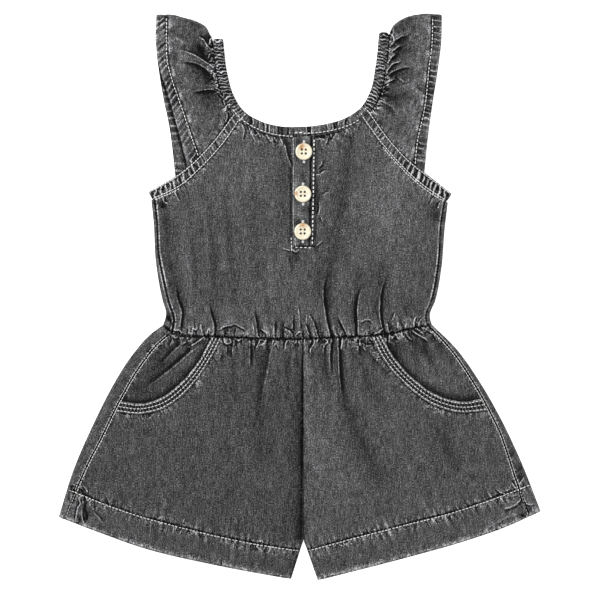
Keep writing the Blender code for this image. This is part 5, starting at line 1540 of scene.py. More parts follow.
# Where along Y the gathers of the neck casing and of the armhole bindings change, and over what distance.
STRAPS_START, STRAPS_SPAN = 138.0, 22.0
LADDERS_START, LADDERS_SPAN = 150.0, 45.0
UNDERARM_START, UNDERARM_SPAN = 126.0, 36.0


def tightness(places):
    """How tightly the elastic gathers the neck casing: fully on the straps, not at all along the front."""
    return eased((places[..., 1] - STRAPS_START) / STRAPS_SPAN)


def neck_folds(along, away, places):
    tight = tightness(places)
    slant = 0.18 * wander(along / 14, 71)
    bends = 0.5 * wander(away * 1.6 + along * 0.3, 73)
    ribs = 0.75 * billows(along + slant * away + bends, 2.75, 41)
    ribs = ribs + 0.5 * billows(along - 0.3 * away, 4.4, 43, True)
    one_side = bell(away + 2.2, 2.4)
    pleats = 0.2 * billows(along + 0.35 * away, 5.0, 47, True) * (0.6 + one_side)
    pleats = pleats + 0.06 * billows(along, 3.1, 49)
    groove = 0.25 * bell(away + 2.7, 0.5)
    return tight * ribs + (1 - tight) * (pleats - groove)


def neck_band():
    left, right = BODICE["left"].neck, BODICE["right"].neck
    front_height, back_height = TOP - 0.3, CASING_THICK / 2
    legs = (
        (curve([*left[:-1], (left[-1][0] - SEAM_GAP, left[-1][1])][::-1]), front_height, -1),
        (curve([*left, *right[-2::-1]]), back_height, 1),
        (curve([*right[:-1], (right[-1][0] + SEAM_GAP, right[-1][1])]), front_height, -1),
    )
    fine = Puckers(2.7, 6.0, 0.6, 0.35, 0.15)
    half_width, half_wall = CASING_WIDTH / 2 - 0.1, CASING_THICK / 2
    return Band(legs, half_width, half_wall, 0.3, neck_folds, fine, tightness, CASING_CREASES)


def binding_lines(side):
    upper, lower = curve(BODICE[side].armhole_upper), curve(BODICE[side].armhole_lower)
    t = np.linspace(0, 1, 9)
    return upper, lower, curve((upper.at(t) + lower.at(t)) / 2)


def binding_band(side):
    upper, lower, line = binding_lines(side)
    t = np.linspace(0, 1, 40)
    half = np.linalg.norm(upper.at(t) - lower.at(t), axis=1) / 2 + 0.3
    turn = -inward(side)
    seed = SEEDS[f"armhole_binding_{side}"]

    def half_width(share):
        there_and_back = 1 - np.abs(1 - 2 * share)
        return np.interp(there_and_back, t, half)

    def folds(along, away, places):
        low = eased((LADDERS_START - places[..., 1]) / LADDERS_SPAN)
        ladders = 0.6 * billows(along + 0.35 * away, 4.6, seed, True) + 0.25 * billows(along, 3.2, seed + 2)
        ladders = ladders * (0.55 + 0.6 * low)
        rows = 0.22 * bell(np.abs(away) - 3.0, 0.6)
        return ladders * bell(away, 3.4, 4) - rows

    def underarm(places):
        return 0.42 * eased((UNDERARM_START - places[..., 1]) / UNDERARM_SPAN)

    legs = (
        (line.part(0.0, 1.0), TOP - 0.4, turn),
        (line.part(1.0, 0.0), BINDING_THICK / 2, -turn),
    )
    fine = Puckers(4.6, 8.0, 1.0, 0.55, 0.35)
    return Band(legs, half_width, BINDING_THICK / 2, 0.1, folds, fine, underarm)


# Sleeves


def sleeve_patches(side):
    """The front and back halves of a sleeve, u from the neck casing to the hem and v from the armhole up."""
    sleeve, bodice = SLEEVES[side], BODICE[side]
    upper = curve(bodice.armhole_upper)
    casing = curve(bodice.neck).offset(inward(side) * (TUCK - CASING_WIDTH / 2))
    stop = casing.share[casing.nearest(bodice.armhole_upper[0])]
    beside_casing = casing.part(stop, 0.0).at(np.linspace(0.1, 0.9, 5))
    inner = curve([bodice.armhole_upper[0], *beside_casing, sleeve.shoulder[0]])
    halves = []
    for hem in (sleeve.front_hem, sleeve.back_hem):
        reach = upper.share_at_y(hem[0][1])
        base = curve([*upper.part(0.0, reach).at(np.linspace(0, 0.85, 5)), hem[0]])
        halves.append(Patch(base, curve(sleeve.shoulder), inner, curve(hem)))
    return halves


SLEEVE_ROWS = {
    "left": ((-80.6, 111.6), (-87.6, 131.6), (-93.2, 148.4), (-98, 162), (-102.8, 176.4), (-105.7, 188.4),
             (-106.4, 202.8), (-106.4, 225)),
    "right": ((92.6, 104.8), (93.2, 114), (94.8, 126.8), (97.4, 138.6), (99, 145), (101.8, 163),
              (103.4, 181.2), (106, 201.4), (106.6, 224.6)),
}


def sleeve_drapes(side):
    """The drapes of a sleeve's front and back halves."""
    front, back = sleeve_patches(side)
    out = inward(side)
    row, front_hem, back_hem = curve(SLEEVE_ROWS[side]), front.finish, back.finish
    join, ladder = SEAMS["sleeve_join"], SEAMS["sleeve_stitches"]._replace(side=out)
    join = join._replace(puckers=join.puckers._replace(shift=TUCK * out))
    if side == "right":
        level_rungs = ladder.puckers._replace(slant=-0.1)
        ladder = ladder._replace(ripples=(ladder.ripples[0]._replace(slant=-0.1),), puckers=level_rungs)
    seed = SEEDS[f"sleeve_{side}"]

    # Pale wear round the hem's stitch row and along the hem, uneven tone, and a painted shadow along the row.
    def front_worn_and_shaded(x, y):
        inside, along = row.beside(x, y)
        inside = -inside * out
        patchy = np.clip(0.4 + 0.9 * wander(along / 2.4, 21), 0.0, 1.3)
        strip = 0.15 + 0.25 * wander(along / 7, 23)
        clouded = 0.1 * rumple(x, y, 15, seed + 7) + 0.13 * rumple(x, y, 5, seed + 8)
        clouded = clouded - (0.1 if side == "left" else 0.0)
        pale = 1.1 * patchy * bell(inside - 2.3, 1.4) + 0.25 * bell(inside - 8.0, 7.0)
        rim = 0.6 * patchy * bell(SLEEVE_HEM + inside, 1.2)
        return (clouded + pale) * (inside > 0) + (strip + rim) * (inside < 0) - 0.8 * bell(inside, 0.9)

    # A little paler all over, with a painted shadow along the front half's hem edge, which lies above it.
    def back_pale_and_shadowed(x, y):
        outside = front_hem.beside(x, y)[0] * out
        return 0.15 - 1.8 * bell(np.maximum(outside, 0.0), 1.5)

    front_seams = [
        (front.start.part(0.0, 0.9), join),
        (front.base, SEAMS["armhole"]),
        (front_hem, SEAMS["sleeve_edge"]),
        (row, ladder),
        # A painted shadow of the groove beside the stitch row, on its inner side.
        (row, Seam(0.2, 0.5, 0, 1, 0, (), Puckers(3, 1.6, 2.2, 0.1, 0, -0.95 * out), 0, False)),
    ]
    back_seams = [
        (back.start.part(0.0, 0.9), join),
        (back.base, SEAMS["armhole"]),
        (back_hem, SEAMS["sleeve_edge"]._replace(puckers=Puckers(6.0, 9.0, 1.0, 0.75, -0.15 * out))),
    ]
    return (
        Drape(TOP, front_seams, SLEEVE_CREASES[side], seed, 0.9, None, front_worn_and_shaded),
        Drape(CLOTH, back_seams, (), seed + 40, 0.3, None, back_pale_and_shadowed),
    )


# The part of a sleeve's height that its fold takes, its sheet's columns, and its rows in front and behind.
SLEEVE_FOLD = ROLL / 90.0
SLEEVE_COLUMNS = 76
SLEEVE_FRONT_ROWS, SLEEVE_BACK_ROWS = 210, 60


def sleeve_sheet(side, name, material, wall):
    """One sheet over the shoulder: up the front half, round the fold, and down the back half."""
    front, back = sleeve_patches(side)
    front_drape, back_drape = sleeve_drapes(side)
    across = 0.006 + denser_at_ends(SLEEVE_COLUMNS, 0.35) * 0.988
    up = np.linspace(0.004, 1 - SLEEVE_FOLD, SLEEVE_FRONT_ROWS)
    down = np.linspace(1 - SLEEVE_FOLD, 0.004, SLEEVE_BACK_ROWS)
    u, v = np.meshgrid(across, up)
    front_points = front.at(u, v)
    front_height, front_wear_and_shade = front_drape.at(front_points[..., 0], front_points[..., 1])
    near_fold = eased((1 - v) * 9)
    front_height = TOP + (front_height - TOP) * near_fold
    rim, inside = front.at(across, np.ones_like(across)), front.at(across, np.full_like(across, 0.94))
    outward = unit(rim - inside)
    angles = np.linspace(0, math.pi, RING_STEPS // 2 + 1)[1:-1, None]
    ruffle = 1 + 0.12 * wander(across * 16, 8)
    turned = (rim - outward * ROLL)[None] + outward[None] * (ROLL * np.sin(angles) * ruffle)[..., None]
    turned_height = ROLL + ROLL * np.cos(angles) * np.ones_like(across)
    u, v = np.meshgrid(across, down)
    back_points = back.at(u, v)
    back_height, back_wear_and_shade = back_drape.at(back_points[..., 0], back_points[..., 1])
    lifted = np.clip(back_height - CLOTH, 0.0, 1.2) * eased((1 - v) * 9)
    flat = np.concatenate([front_points, turned, back_points])
    height = np.concatenate([front_height, turned_height, lifted])
    folded = np.full(turned_height.shape, 0.12) * (1 + 2 * wander(across * 40, 9))
    wear = np.clip(np.concatenate([front_wear_and_shade, folded, back_wear_and_shade]), -MOST_WEAR_AND_SHADE, MOST_WEAR_AND_SHADE)
    points = stacked(flat, height)
    lines = Lines.joined([
        front_drape.lines(front_points[..., 0], front_points[..., 1]),
        Lines([], [], turned_height.shape),
        back_drape.lines(back_points[..., 0], back_points[..., 1]),
    ])
    return cloth_sheet(name, points, wear, measured_weave(points), lines, material, wall, face=(20, 19))


# Shorts


def leg_patch(side):
    """One leg as it lies: u from the side fold to the centre seam, v from the hem up to the waist."""
    leg = LEGS[side]
    crotch = (CENTRE_X, CROTCH_Y)
    meets = waist_share(CENTRE_X)
    inner_side = Chain((curve([leg.hem[-1], crotch]), 0.16), (curve([crotch, WAIST_LINE.at(meets)]), 0.84))
    waist = WAIST_LINE.part(0.0 if side == "left" else 1.0, meets)
    return Patch(curve(leg.hem), waist, curve(leg.fold[::-1]), inner_side)


def leg_seam(side):
    return seam_line(leg_patch(side), LEGS[side].seam_offsets[::-1], "left")


def pocket_lines(side):
    """The scoop, the band's outer edge, and the bag's, from the waist to a height on the side seam."""
    leg, seam = LEGS[side], leg_seam(side)
    kinds = ((leg.scoop, leg.scoop_end), (leg.band, leg.band_end), (leg.bag, leg.bag_end))
    return [curve([*points, seam.at(seam.share_at_y(height))]) for points, height in kinds]


HEM_ROWS = {
    "left": ((-185.4, -154.1), (-171, -160), (-136, -173), (-87, -186.5), (-40, -197), (0, -203.4)),
    "right": ((184.2, -150.5), (174, -154.6), (157, -161), (125, -172), (85, -182.5), (39, -194.4),
              (6.4, -203.4)),
}


def inner_leg_line(side):
    """The inseam and the centre seam above it."""
    corners = Line([LEGS[side].hem[-1], (CENTRE_X, CROTCH_Y), WAIST_LINE.at(waist_share(CENTRE_X))])
    share = corners.share[1]
    return Line(corners.at(np.concatenate([np.linspace(0, share, 8), np.linspace(share, 1, 30)[1:]])))


def leg_front_patch(side):
    leg, seam, patch = LEGS[side], leg_seam(side), leg_patch(side)
    _, band, _ = pocket_lines(side)
    shown_waist = WAIST_LINE.part(waist_share(leg.band[0][0]), waist_share(CENTRE_X))
    top = Chain((band.part(1.0, 0.0), 0.5), (shown_waist, 0.5))
    below = seam.part(0.0, seam.share_at_y(leg.band_end))
    hem = curve([seam.at(0.0), *leg.hem[1:]])
    return Patch(hem, top, below, patch.finish)


def leg_drape(side):
    """The front leg: lifted over the pocket bag and the turned-up hem, and rolled down to the inseam."""
    leg = LEGS[side]
    _, band, bag = pocket_lines(side)
    inner = inner_leg_line(side)
    hem = curve(leg.hem)
    top = waist_height(CENTRE_X)
    row = curve(HEM_ROWS[side])

    def shape(x, y):
        over_bag, over_band = np.abs(bag.beside(x, y)[0]), np.abs(band.beside(x, y)[0])
        lift = 0.5 * (1 - eased(np.minimum(over_bag, over_band) / 20 - 0.4))
        gap = np.abs(inner.beside(x, y)[0])
        low = eased((top - y) / (top - CROTCH_Y))
        drop = CROTCH_DROP * (0.2 + 0.8 * low) * (1 - eased(gap / INSEAM_REACH))
        soft = 0.7 * bell(gap, 6.0)
        below_row = row.beside(x, y)[0] * -inward(side)
        doubled = 0.4 * eased(below_row / 1.5)
        return lift - drop - soft + doubled

    hem_row, centre = SEAMS["hem_stitches"], SEAMS["leg_centre"]
    if side == "right":
        hem_row = hem_row._replace(puckers=hem_row.puckers._replace(shift=-hem_row.puckers.shift))
        centre = centre._replace(groove=1.0, width=0.7, puckers=None)
    seams = [
        (WAIST_LINE, SEAMS["leg_waist"]),
        (leg_seam(side), SEAMS["leg_side"]),
        (inner, centre),
        (hem, SEAMS["hem_edge"]),
        (row, hem_row),
        (band, SEAMS["pocket_join"]),
    ]

    # Painted shadow along the centre seam, soft and wide, with a black core on the left leg; pale wear along
    # the hem's edge and puckers round its stitch row; the left leg a little darker all over.
    def worn(x, y):
        gap = np.abs(inner.beside(x, y)[0])
        low = eased((top - y) / 90.0) * (y > CROTCH_Y)
        soft = 0.8 * bell(gap, 7.0, 1.5) if side == "left" else 0.2 * bell(gap, 3.0)
        from_hem, along = hem.beside(x, y)
        patchy = np.clip(0.9 + 0.45 * wander(along / 9, 17), 0.3, 1.2) + 0.25 * wander(along / 2.2, 18)
        edge = (0.65 if side == "left" else 0.85) * patchy * bell(from_hem, 3.4, 3)
        below, row_along = row.beside(x, y)
        below = below * -inward(side)
        stripes = 0.75 * billows(row_along + 0.15 * below, 5.6, 55, True) + 0.4 * billows(row_along, 3.3, 57)
        edge = edge + stripes * bell(np.abs(below) - 3.4, 3.0) * np.where(below > 0, 1.0, 0.4)
        core = (3.6 if side == "left" else 0.0) * bell(gap, 1.6, 3)
        deeper = 0.12 if side == "left" else 0.0
        return edge - soft * low * (0.8 + 0.3 * wander(y / 12, 9)) - core * low - deeper

    return Drape(TOP + 0.1, seams, LEG_CREASES[side], SEEDS[f"leg_front_{side}"], PUFF, shape, worn)


def leg_front_points(side, columns, rows):
    patch = leg_front_patch(side)
    u, v = np.meshgrid(denser_at_ends(columns, 0.25), denser_at_ends(rows, 0.45))
    return patch.at(0.001 + u * 0.999, 0.001 + v * 0.998)


def pocket_facing_points(side, columns, rows):
    leg, seam = LEGS[side], leg_seam(side)
    _, _, bag = pocket_lines(side)
    meets = waist_share(leg.bag[0][0])
    corner = WAIST_LINE.share[WAIST_LINE.nearest(seam.at(1.0))]
    seam_top = seam.share_at_y(WAIST_LINE.at(corner)[1])
    lower_end = seam.share_at_y(leg.bag_end)
    waist_edge = curve([seam.at(seam_top), *WAIST_LINE.part(corner, meets).at(np.linspace(0.2, 1.0, 4))])
    low_edge = curve([seam.at(lower_end), seam.at(lower_end) + (inward(side) * 1.6, 0.2)])
    bag_side = curve([low_edge.points[-1], *bag.points[-10::-10], waist_edge.points[-1]])
    facing = Patch(low_edge, waist_edge, seam.part(lower_end, seam_top), bag_side)
    u, v = np.meshgrid(np.linspace(0, 1, columns + 1), denser_at_ends(rows, 0.4))
    return facing.at(0.004 + u * 0.99, 0.002 + v * 0.996)


def pocket_drape(side):
    """The facing, low under the band's edge and rising towards the side seam."""
    scoop, _, _ = pocket_lines(side)
    into = -inward(side)

    def shape(x, y):
        inside = scoop.beside(x, y)[0] * into
        return POCKET_RISE * eased(inside / 16.0) - 1.0 * (1 - eased((inside + 1.5) / 2.5))

    seams = [
        (WAIST_LINE, SEAMS["leg_waist"]._replace(groove=0.9)),
        (leg_seam(side), SEAMS["leg_side"]._replace(groove=0.7)),
    ]

    # Darker all over on the left, and painted shade under the band's edge and, on the right, towards the waist.
    def worn(x, y):
        inside = scoop.beside(x, y)[0] * into
        if side == "left":
            return -0.28 - 0.7 * (1 - eased(inside / 5.0))
        return -0.5 * (1 - eased((-34.0 - y) / 26.0)) - 0.9 * (1 - eased(inside / 6.5)) + 0.02

    seed = SEEDS[f"pocket_facing_{side}"]
    return Drape(POCKET_FACE, seams, POCKET_CREASES[side], seed, 0.2, shape, worn)


def on_band(side, along, across):
    """Places on the pocket band: along it from the waist, and across it from its outer edge to the scoop."""
    scoop, band, _ = pocket_lines(side)
    return band.at(along) + (scoop.at(along) - band.at(along)) * np.asarray(across)[..., None]


def pocket_band_points(side, columns, rows):
    along, across = np.linspace(0.002, 0.998, columns + 1), np.linspace(0.01, 0.99, rows + 1)
    return on_band(side, *np.meshgrid(along, across))


# Stitched lines that cross the neck casing, from the armholes to its opening edge.
CASING_CROSSINGS = {
    "left": (((-48.8, 140), (-42.8, 146.6)),),
    "right": (((57.4, 145.8), (52, 151.2)), ((52, 141.8), (48.6, 147.6))),
}
BAND_ROWS = (0.16, 0.5, 0.84)
BAND_PITCH = 2.9


def pocket_band_drape(side):
    """The doubled band: thick, with three rows of stitches and dents beside them darkened with painted shade.
    """
    scoop, band, _ = pocket_lines(side)
    seed = SEEDS[f"pocket_band_{side}"]

    def places(x, y):
        from_band, along = band.beside(x, y, 80)
        from_scoop, _ = scoop.beside(x, y, 80)
        from_band, from_scoop = np.abs(from_band), np.abs(from_scoop)
        return from_band, from_scoop, from_band / np.maximum(from_band + from_scoop, 0.1), along

    def dots(share, along):
        gaps = sum(bell(share - row, 0.11) for row in (0.33, 0.67))
        turns = along / BAND_PITCH + 0.5 * wander(along / 9, seed) + 0.25 * (share > 0.5)
        return gaps * np.clip(0.65 + 0.9 * np.sin(2 * math.pi * turns), 0.0, 1.4)

    def shape(x, y):
        from_band, from_scoop, share, along = places(x, y)
        edges = -0.9 * bell(np.minimum(from_band, from_scoop), 0.6, 1.5)
        rows = sum(-0.3 * bell(share - row, 0.07) for row in BAND_ROWS)
        return edges + rows - 0.55 * dots(share, along)

    # Pale wear along the band's edges, and painted shade in the dents beside the stitch rows.
    def worn(x, y):
        from_band, from_scoop, share, along = places(x, y)
        rim = bell(np.minimum(from_band, from_scoop) - 0.5, 0.6)
        patchy = np.clip(0.6 + 0.8 * wander(along / 2.2, seed + 4), 0.0, 1.4)
        return 0.9 * rim * patchy - 2.4 * dots(share, along) + 0.1

    waist = SEAMS["leg_waist"]._replace(ripples=())
    return Drape(TOP + BAND_LIFT, [(WAIST_LINE, waist)], (), seed, 0.0, shape, worn)


# Placket and buttons

BUTTON_STEPS = 56
HOLE_STEPS = 20
PLACKET_LEFT, PLACKET_RIGHT = -5.4, 12.8
PLACKET_TOP, PLACKET_BOTTOM = 127.6, 38.6
PLACKET_SLANT = 1.6
PLACKET_WALL = 1.2
PLACKET_MIDDLE = 3.7
PLACKET_FOOT = 40.3
FREE_EDGE = ((-5.6, 130), (-5.4, 90), (-5, 56), (-3.4, 41))
STITCHED_EDGE = ((9.6, 130), (9, 100), (8.6, 70), (7.8, 40))
THICK_ROW = ((11.7, 127.4), (11.3, 100), (10.8, 70), (10.2, 41))
Button = namedtuple("Button", "node x y ambers")
BUTTONS = (
    Button("button_top", 3.5, 116, (Amber(-1.6, 4.6, 2.6, 0.85), Amber(-2.2, 2.4, 1.6, 0.8))),
    Button("button_middle", 2.7, 82.2, (Amber(-5.6, 0.4, 1.9, 0.85),)),
    Button("button_bottom", 2.6, 52.2, (Amber(0.2, 5.4, 3, 0.8), Amber(4.6, -3, 1.4, 0.35))),
)


def placket_drape():
    """The placket over the bodice: a free edge, pale with wear and painted highlight, a flat fold line and a
    thick row of stitches, with painted shade in the sunken lines.
    """
    under = bodice_drape()
    free, stitched, thick = curve(FREE_EDGE), curve(STITCHED_EDGE), curve(THICK_ROW)

    def shape(x, y):
        gap, _ = free.beside(x, y)
        roll = 0.45 * bell(gap - 1.0, 1.1) - 0.8 * bell(gap, 0.7) * (gap < 1)
        fold, _ = stitched.beside(x, y)
        row, row_along = thick.beside(x, y)
        lines = -0.75 * bell(fold, 0.7) + 0.25 * bell(fold + 1.6, 1.0)
        beside_row = -0.3 * bell(row, 0.9) + 0.12 * billows(row_along, 3.6, 77) * bell(row, 2.2)
        outer = np.maximum(PLACKET_LEFT + 0.6 - x, x - PLACKET_RIGHT + 0.9)
        edges = -1.5 * eased(outer / 1.2)
        bottom = -1.2 * bell(y - PLACKET_FOOT, 0.7) - 1.4 * eased((PLACKET_BOTTOM + 1.0 - y) / 1.4)
        sags = 0.28 * rumple(x, y, 17, 31)
        return under.height(x, y) + roll + lines + beside_row + edges + bottom + sags

    # A pale line along the free edge and beside the fold, partly wear and partly painted highlight; painted
    # shade in the fold, beside the thick row and across the foot; and uneven tone.
    def worn(x, y):
        gap, along = free.beside(x, y)
        uneven = np.clip(0.75 + 0.5 * wander(along / 3, 12), 0.2, 1.3)
        bright = (1.5 * bell(gap - 0.4, 0.5) + 0.5 * bell(gap - 2.2, 0.5)) * uneven
        fold, fold_along = stitched.beside(x, y)
        folded = 0.9 * bell(fold - 1.3, 0.5) * np.clip(0.6 + 0.6 * wander(fold_along / 4, 14), 0.0, 1.3)
        row, _ = thick.beside(x, y)
        sunken = 1.6 * bell(fold, 0.75) + 0.7 * bell(row, 1.5, 4) * (x > PLACKET_MIDDLE)
        bar = 1.3 * bell(y - PLACKET_FOOT, 0.7)
        return bright + folded - sunken - bar + 0.3 * rumple(x, y, 11, 33)

    return Drape(PLACKET_LIFT, [], (), SEEDS["placket"], 0.0, shape, worn)


def placket_points(columns, rows):
    u, v = np.meshgrid(denser_at_ends(columns, 0.3), denser_at_ends(rows, 0.3))
    bottom = PLACKET_BOTTOM - 0.6
    left = np.interp(bottom + v * 90, (bottom, 50.0, 130.0), (PLACKET_LEFT + 1.6, PLACKET_LEFT, PLACKET_LEFT))
    x = left + u * (PLACKET_RIGHT - left)
    y = bottom + v * (PLACKET_TOP + PLACKET_SLANT * u - bottom)
    return np.stack([x, y], axis=-1)


def turned_button(button, name, material):
    """A turned disc with a soft rim and a dished face, and four holes through it."""
    low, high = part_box(button.node)
    radius, thick = (high.x - low.x) / 2 / MM, (high.z - low.z) / MM
    base = low.z / MM
    dished = thick - 0.55
    profile = (
        (0.0, dished),
        (radius - 3.1, dished),
        (radius - 2.4, dished + 0.06),
        (radius - 1.75, thick - 0.14),
        (radius - 1.35, thick),
        (radius - 0.75, thick),
        (radius - 0.3, thick - 0.16),
        (radius - 0.05, thick - 0.55),
        (radius, thick - 0.95),
        (radius - 0.3, 0.55),
        (radius - 1.5, 0.0),
        (0.0, 0.0),
    )
    mesh = bmesh.new()
    verts = [mesh.verts.new((x * MM, 0, z * MM)) for x, z in profile]
    edges = [mesh.edges.new(pair) for pair in zip(verts, verts[1:])]
    bmesh.ops.spin(
        mesh, geom=verts + edges, cent=(0, 0, 0), axis=(0, 0, 1), angle=2 * math.pi, steps=BUTTON_STEPS,
        use_merge=True,
    )
    bmesh.ops.remove_doubles(mesh, verts=list(mesh.verts), dist=WELD)
    bmesh.ops.recalc_face_normals(mesh, faces=list(mesh.faces))
    bmesh.ops.translate(mesh, verts=list(mesh.verts), vec=(button.x * MM, button.y * MM, base * MM))
    made = add_object(name, mesh_data(mesh, name), material)
    cut_holes(made, button, base, thick)
    return made


def cut_holes(made, button, base, thick):
    radius = HOLE_RADIUS * MM
    mesh = bmesh.new()
    for x, y in HOLES:
        hole = bmesh.ops.create_cone(
            mesh, cap_ends=True, segments=HOLE_STEPS, radius1=radius, radius2=radius, depth=3 * thick * MM
        )
        place = ((button.x + x) * MM, (button.y + y) * MM, (base + thick / 2) * MM)
        bmesh.ops.translate(mesh, verts=hole["verts"], vec=place)
    cutter = bpy.data.objects.new("holes", mesh_data(mesh, "holes"))
    bpy.context.scene.collection.objects.link(cutter)
    cut = made.modifiers.new("holes", "BOOLEAN")
    cut.operation = "DIFFERENCE"
    cut.object = cutter
    apply_modifiers(made)
    bpy.data.objects.remove(cutter)


def apply_modifiers(made):
    bpy.context.view_layer.update()
    shaped = bpy.data.meshes.new_from_object(made.evaluated_get(bpy.context.evaluated_depsgraph_get()))
    made.modifiers.clear()
    made.data = shaped


# Stitches

Stitches = namedtuple("Stitches", "length pitch radius")


def stitch_run(line, top, kind, seed, lift=0.12, start=0.0, end=1.0):
    """The two ends of each stitch in a row along a line, on a surface whose height top(x, y) gives."""
    chance = np.random.default_rng(seed)
    count = max(int(line.length * (end - start) / kind.pitch), 1)
    middle = np.linspace(start, end, count, endpoint=False) + 0.5 * (end - start) / count
    middle = middle + chance.uniform(-0.08, 0.08, count) * kind.pitch / line.length
    half = kind.length / 2 / line.length
    ends = []
    for way in (-half, half):
        places = line.at(np.clip(middle + way, 0, 1)) + chance.uniform(-0.07, 0.07, (count, 2))
        ends.append(stacked(places, top(places[:, 0], places[:, 1]) + lift))
    return np.stack(ends, axis=1), kind.radius


def band_run(band, share, kind, seed, start=0.0, end=1.0, lift=0.1):
    """The ends of each stitch in a row along a band, at a share of its width or from one share to another."""
    chance = np.random.default_rng(seed)
    count = max(int(band.length * (end - start) / kind.pitch), 1)
    middle = (start + (end - start) * (np.arange(count) + 0.5) / count) * band.length
    ends = []
    for way in (-kind.length / 2, kind.length / 2):
        shares = np.linspace(*share, count) if isinstance(share, tuple) else share
        shares = shares + chance.uniform(-0.02, 0.02, count)
        out = between(middle, band.along, band.outward)
        ends.append(band.place(middle + way, shares) + out * lift)
    return np.stack(ends, axis=1), kind.radius


def thread_mesh(name, runs, material):
    """All the stitches of some rows as one mesh: a small rounded stitch repeated between its ends."""
    mesh = bmesh.new()
    bmesh.ops.create_uvsphere(mesh, u_segments=6, v_segments=5, radius=1.0)
    mesh.verts.index_update()
    shape = np.array([vert.co for vert in mesh.verts])
    lengthened = np.sign(shape[:, [2]]) * np.abs(shape[:, [2]]) ** 0.7
    corners = [[vert.index for vert in face.verts] for face in mesh.faces]
    mesh.free()
    placed, faces, count = [], [], 0
    for ends, radius in runs:
        middle, along = ends.mean(axis=1), ends[:, 1] - ends[:, 0]
        half = np.linalg.norm(along, axis=1, keepdims=True) / 2
        along = along / (2 * half)
        side = unit(np.cross([0.0, 0.0, 1.0], along))
        upward = np.cross(along, side)
        for centre, reach, ahead, across, up in zip(middle, half, along, side, upward):
            local = lengthened * ahead * reach + shape[:, [0]] * radius * across
            placed.append(centre + (local + shape[:, [1]] * radius * up))
            faces.extend([[corner + count for corner in face] for face in corners])
            count += len(shape)
    points = np.concatenate(placed)
    points[:, 2] = np.maximum(points[:, 2], 0.0)
    data = bpy.data.meshes.new(name)
    data.from_pydata((points * MM).tolist(), [], faces)
    return add_object(name, data, material)


# Sizes and colours that a user may change


class RomperCloth(bpy.types.PropertyGroup):
    """The denim's thickness and finish."""

    wall: FloatProperty(
        name="Cloth", description="Thickness of a single layer", default=0.0010, min=0.0004, unit="LENGTH"
    )
    denim: FloatVectorProperty(
        name="Denim", description="Washed denim where it lies flat", default=(0.056, 0.056, 0.0575),
        size=3, subtype="COLOR",
    )
    trim_tone: FloatProperty(
        name="Trim wear", description="How much paler bindings and bands are than the panels", default=0.01,
        subtype="FACTOR",
    )
    columns: IntProperty(name="Bodice columns", description="Faces across the bodice's front", default=330)


class RomperThread(bpy.types.PropertyGroup):
    """The topstitching."""

    stitch: FloatProperty(name="Stitch", description="Length of a stitch", default=0.0022, unit="LENGTH")
    pitch: FloatProperty(name="Pitch", description="From stitch to stitch", default=0.0029, unit="LENGTH")
    radius: FloatProperty(name="Radius", description="Radius of the thread", default=0.00040, unit="LENGTH")
    colour: FloatVectorProperty(
        name="Thread", description="Pale cotton thread", default=(0.72, 0.72, 0.70), size=3, subtype="COLOR"
    )


class RomperButtons(bpy.types.PropertyGroup):
    """The horn buttons."""

    cream: FloatVectorProperty(
        name="Horn", description="Cream of the button", default=(0.72, 0.66, 0.505), size=3, subtype="COLOR"
    )
    amber: FloatVectorProperty(
        name="Streaks", description="Amber in the horn", default=(0.42, 0.19, 0.045), size=3, subtype="COLOR"
    )


class RomperStage(bpy.types.PropertyGroup):
    """The floor, lights and camera."""

    floor: FloatProperty(name="Floor", description="Side of the floor", default=6.0, unit="LENGTH")
    key: FloatProperty(
        name="Key light", description="Power of the large soft light", default=34.0, subtype="POWER"
    )
    fill: FloatProperty(
        name="Fill light", description="Power of the light opposite", default=9.0, subtype="POWER"
    )
    sky: FloatProperty(name="Sky", description="Strength of the light from all sides", default=0.55)
    lens: FloatProperty(name="Lens", description="Focal length of the camera", default=0.1, unit="CAMERA")
    frame_side: FloatProperty(
        name="Frame", description="Side of what the camera sees", default=0.48, unit="LENGTH"
    )


def denim(context):
    cloth = context.scene.romper_cloth
    return denim_finish("washed_denim_weave", cloth.denim)


def trim(context):
    cloth = context.scene.romper_cloth
    return denim_finish("denim_trim_weave", cloth.denim, cloth.trim_tone)


def cloth_wall(context):
    return context.scene.romper_cloth.wall / MM


def dress(nodes):
    """Hides the imported solids that a piece stands in for."""
    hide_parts(*nodes)


class BodiceFrontMaker(bpy.types.Operator):
    """Lays the front of the bodice with its gathers and creases"""

    bl_idname = "romper.bodice_front"
    bl_label = "Bodice front"

    def execute(self, context):
        points = bodice_front_points(context.scene.romper_cloth.columns, BODICE_FRONT_ROWS)
        piece = laid_sheet("bodice_front_cloth", points, bodice_drape(), denim(context), cloth_wall(context))
        dress(["bodice_front"])
        return {"FINISHED"}


class BodiceBackMaker(bpy.types.Operator):
    """Lays the back of the bodice, rolled round both sides"""

    bl_idname = "romper.bodice_back"
    bl_label = "Bodice back"

    def execute(self, context):
        patch = bodice_patch()
        rolls = {side: BODICE[side].seam_offsets for side in SIDES}
        back_seams = [(WAIST_LINE, SEAMS["back_waist"]), (patch.top.lines[1], SEAMS["back_seam"])]
        back_seams += [(curve(BODICE[side].armhole_lower), SEAMS["back_seam"]) for side in SIDES]
        piece = rolled_back(
            "bodice_back", patch, rolls, GRIDS["bodice_back"], bodice_drape(), back_seams, denim(context),
            cloth_wall(context),
        )
        dress(["bodice_back"])
        return {"FINISHED"}


class NeckCasingMaker(bpy.types.Operator):
    """Gathers the neck casing and its straps over their elastic"""

    bl_idname = "romper.neck_casing"
    bl_label = "Neck casing"

    def execute(self, context):
        piece = neck_band().build("neck_casing_cloth", trim(context))
        dress(["neck_casing"])
        return {"FINISHED"}


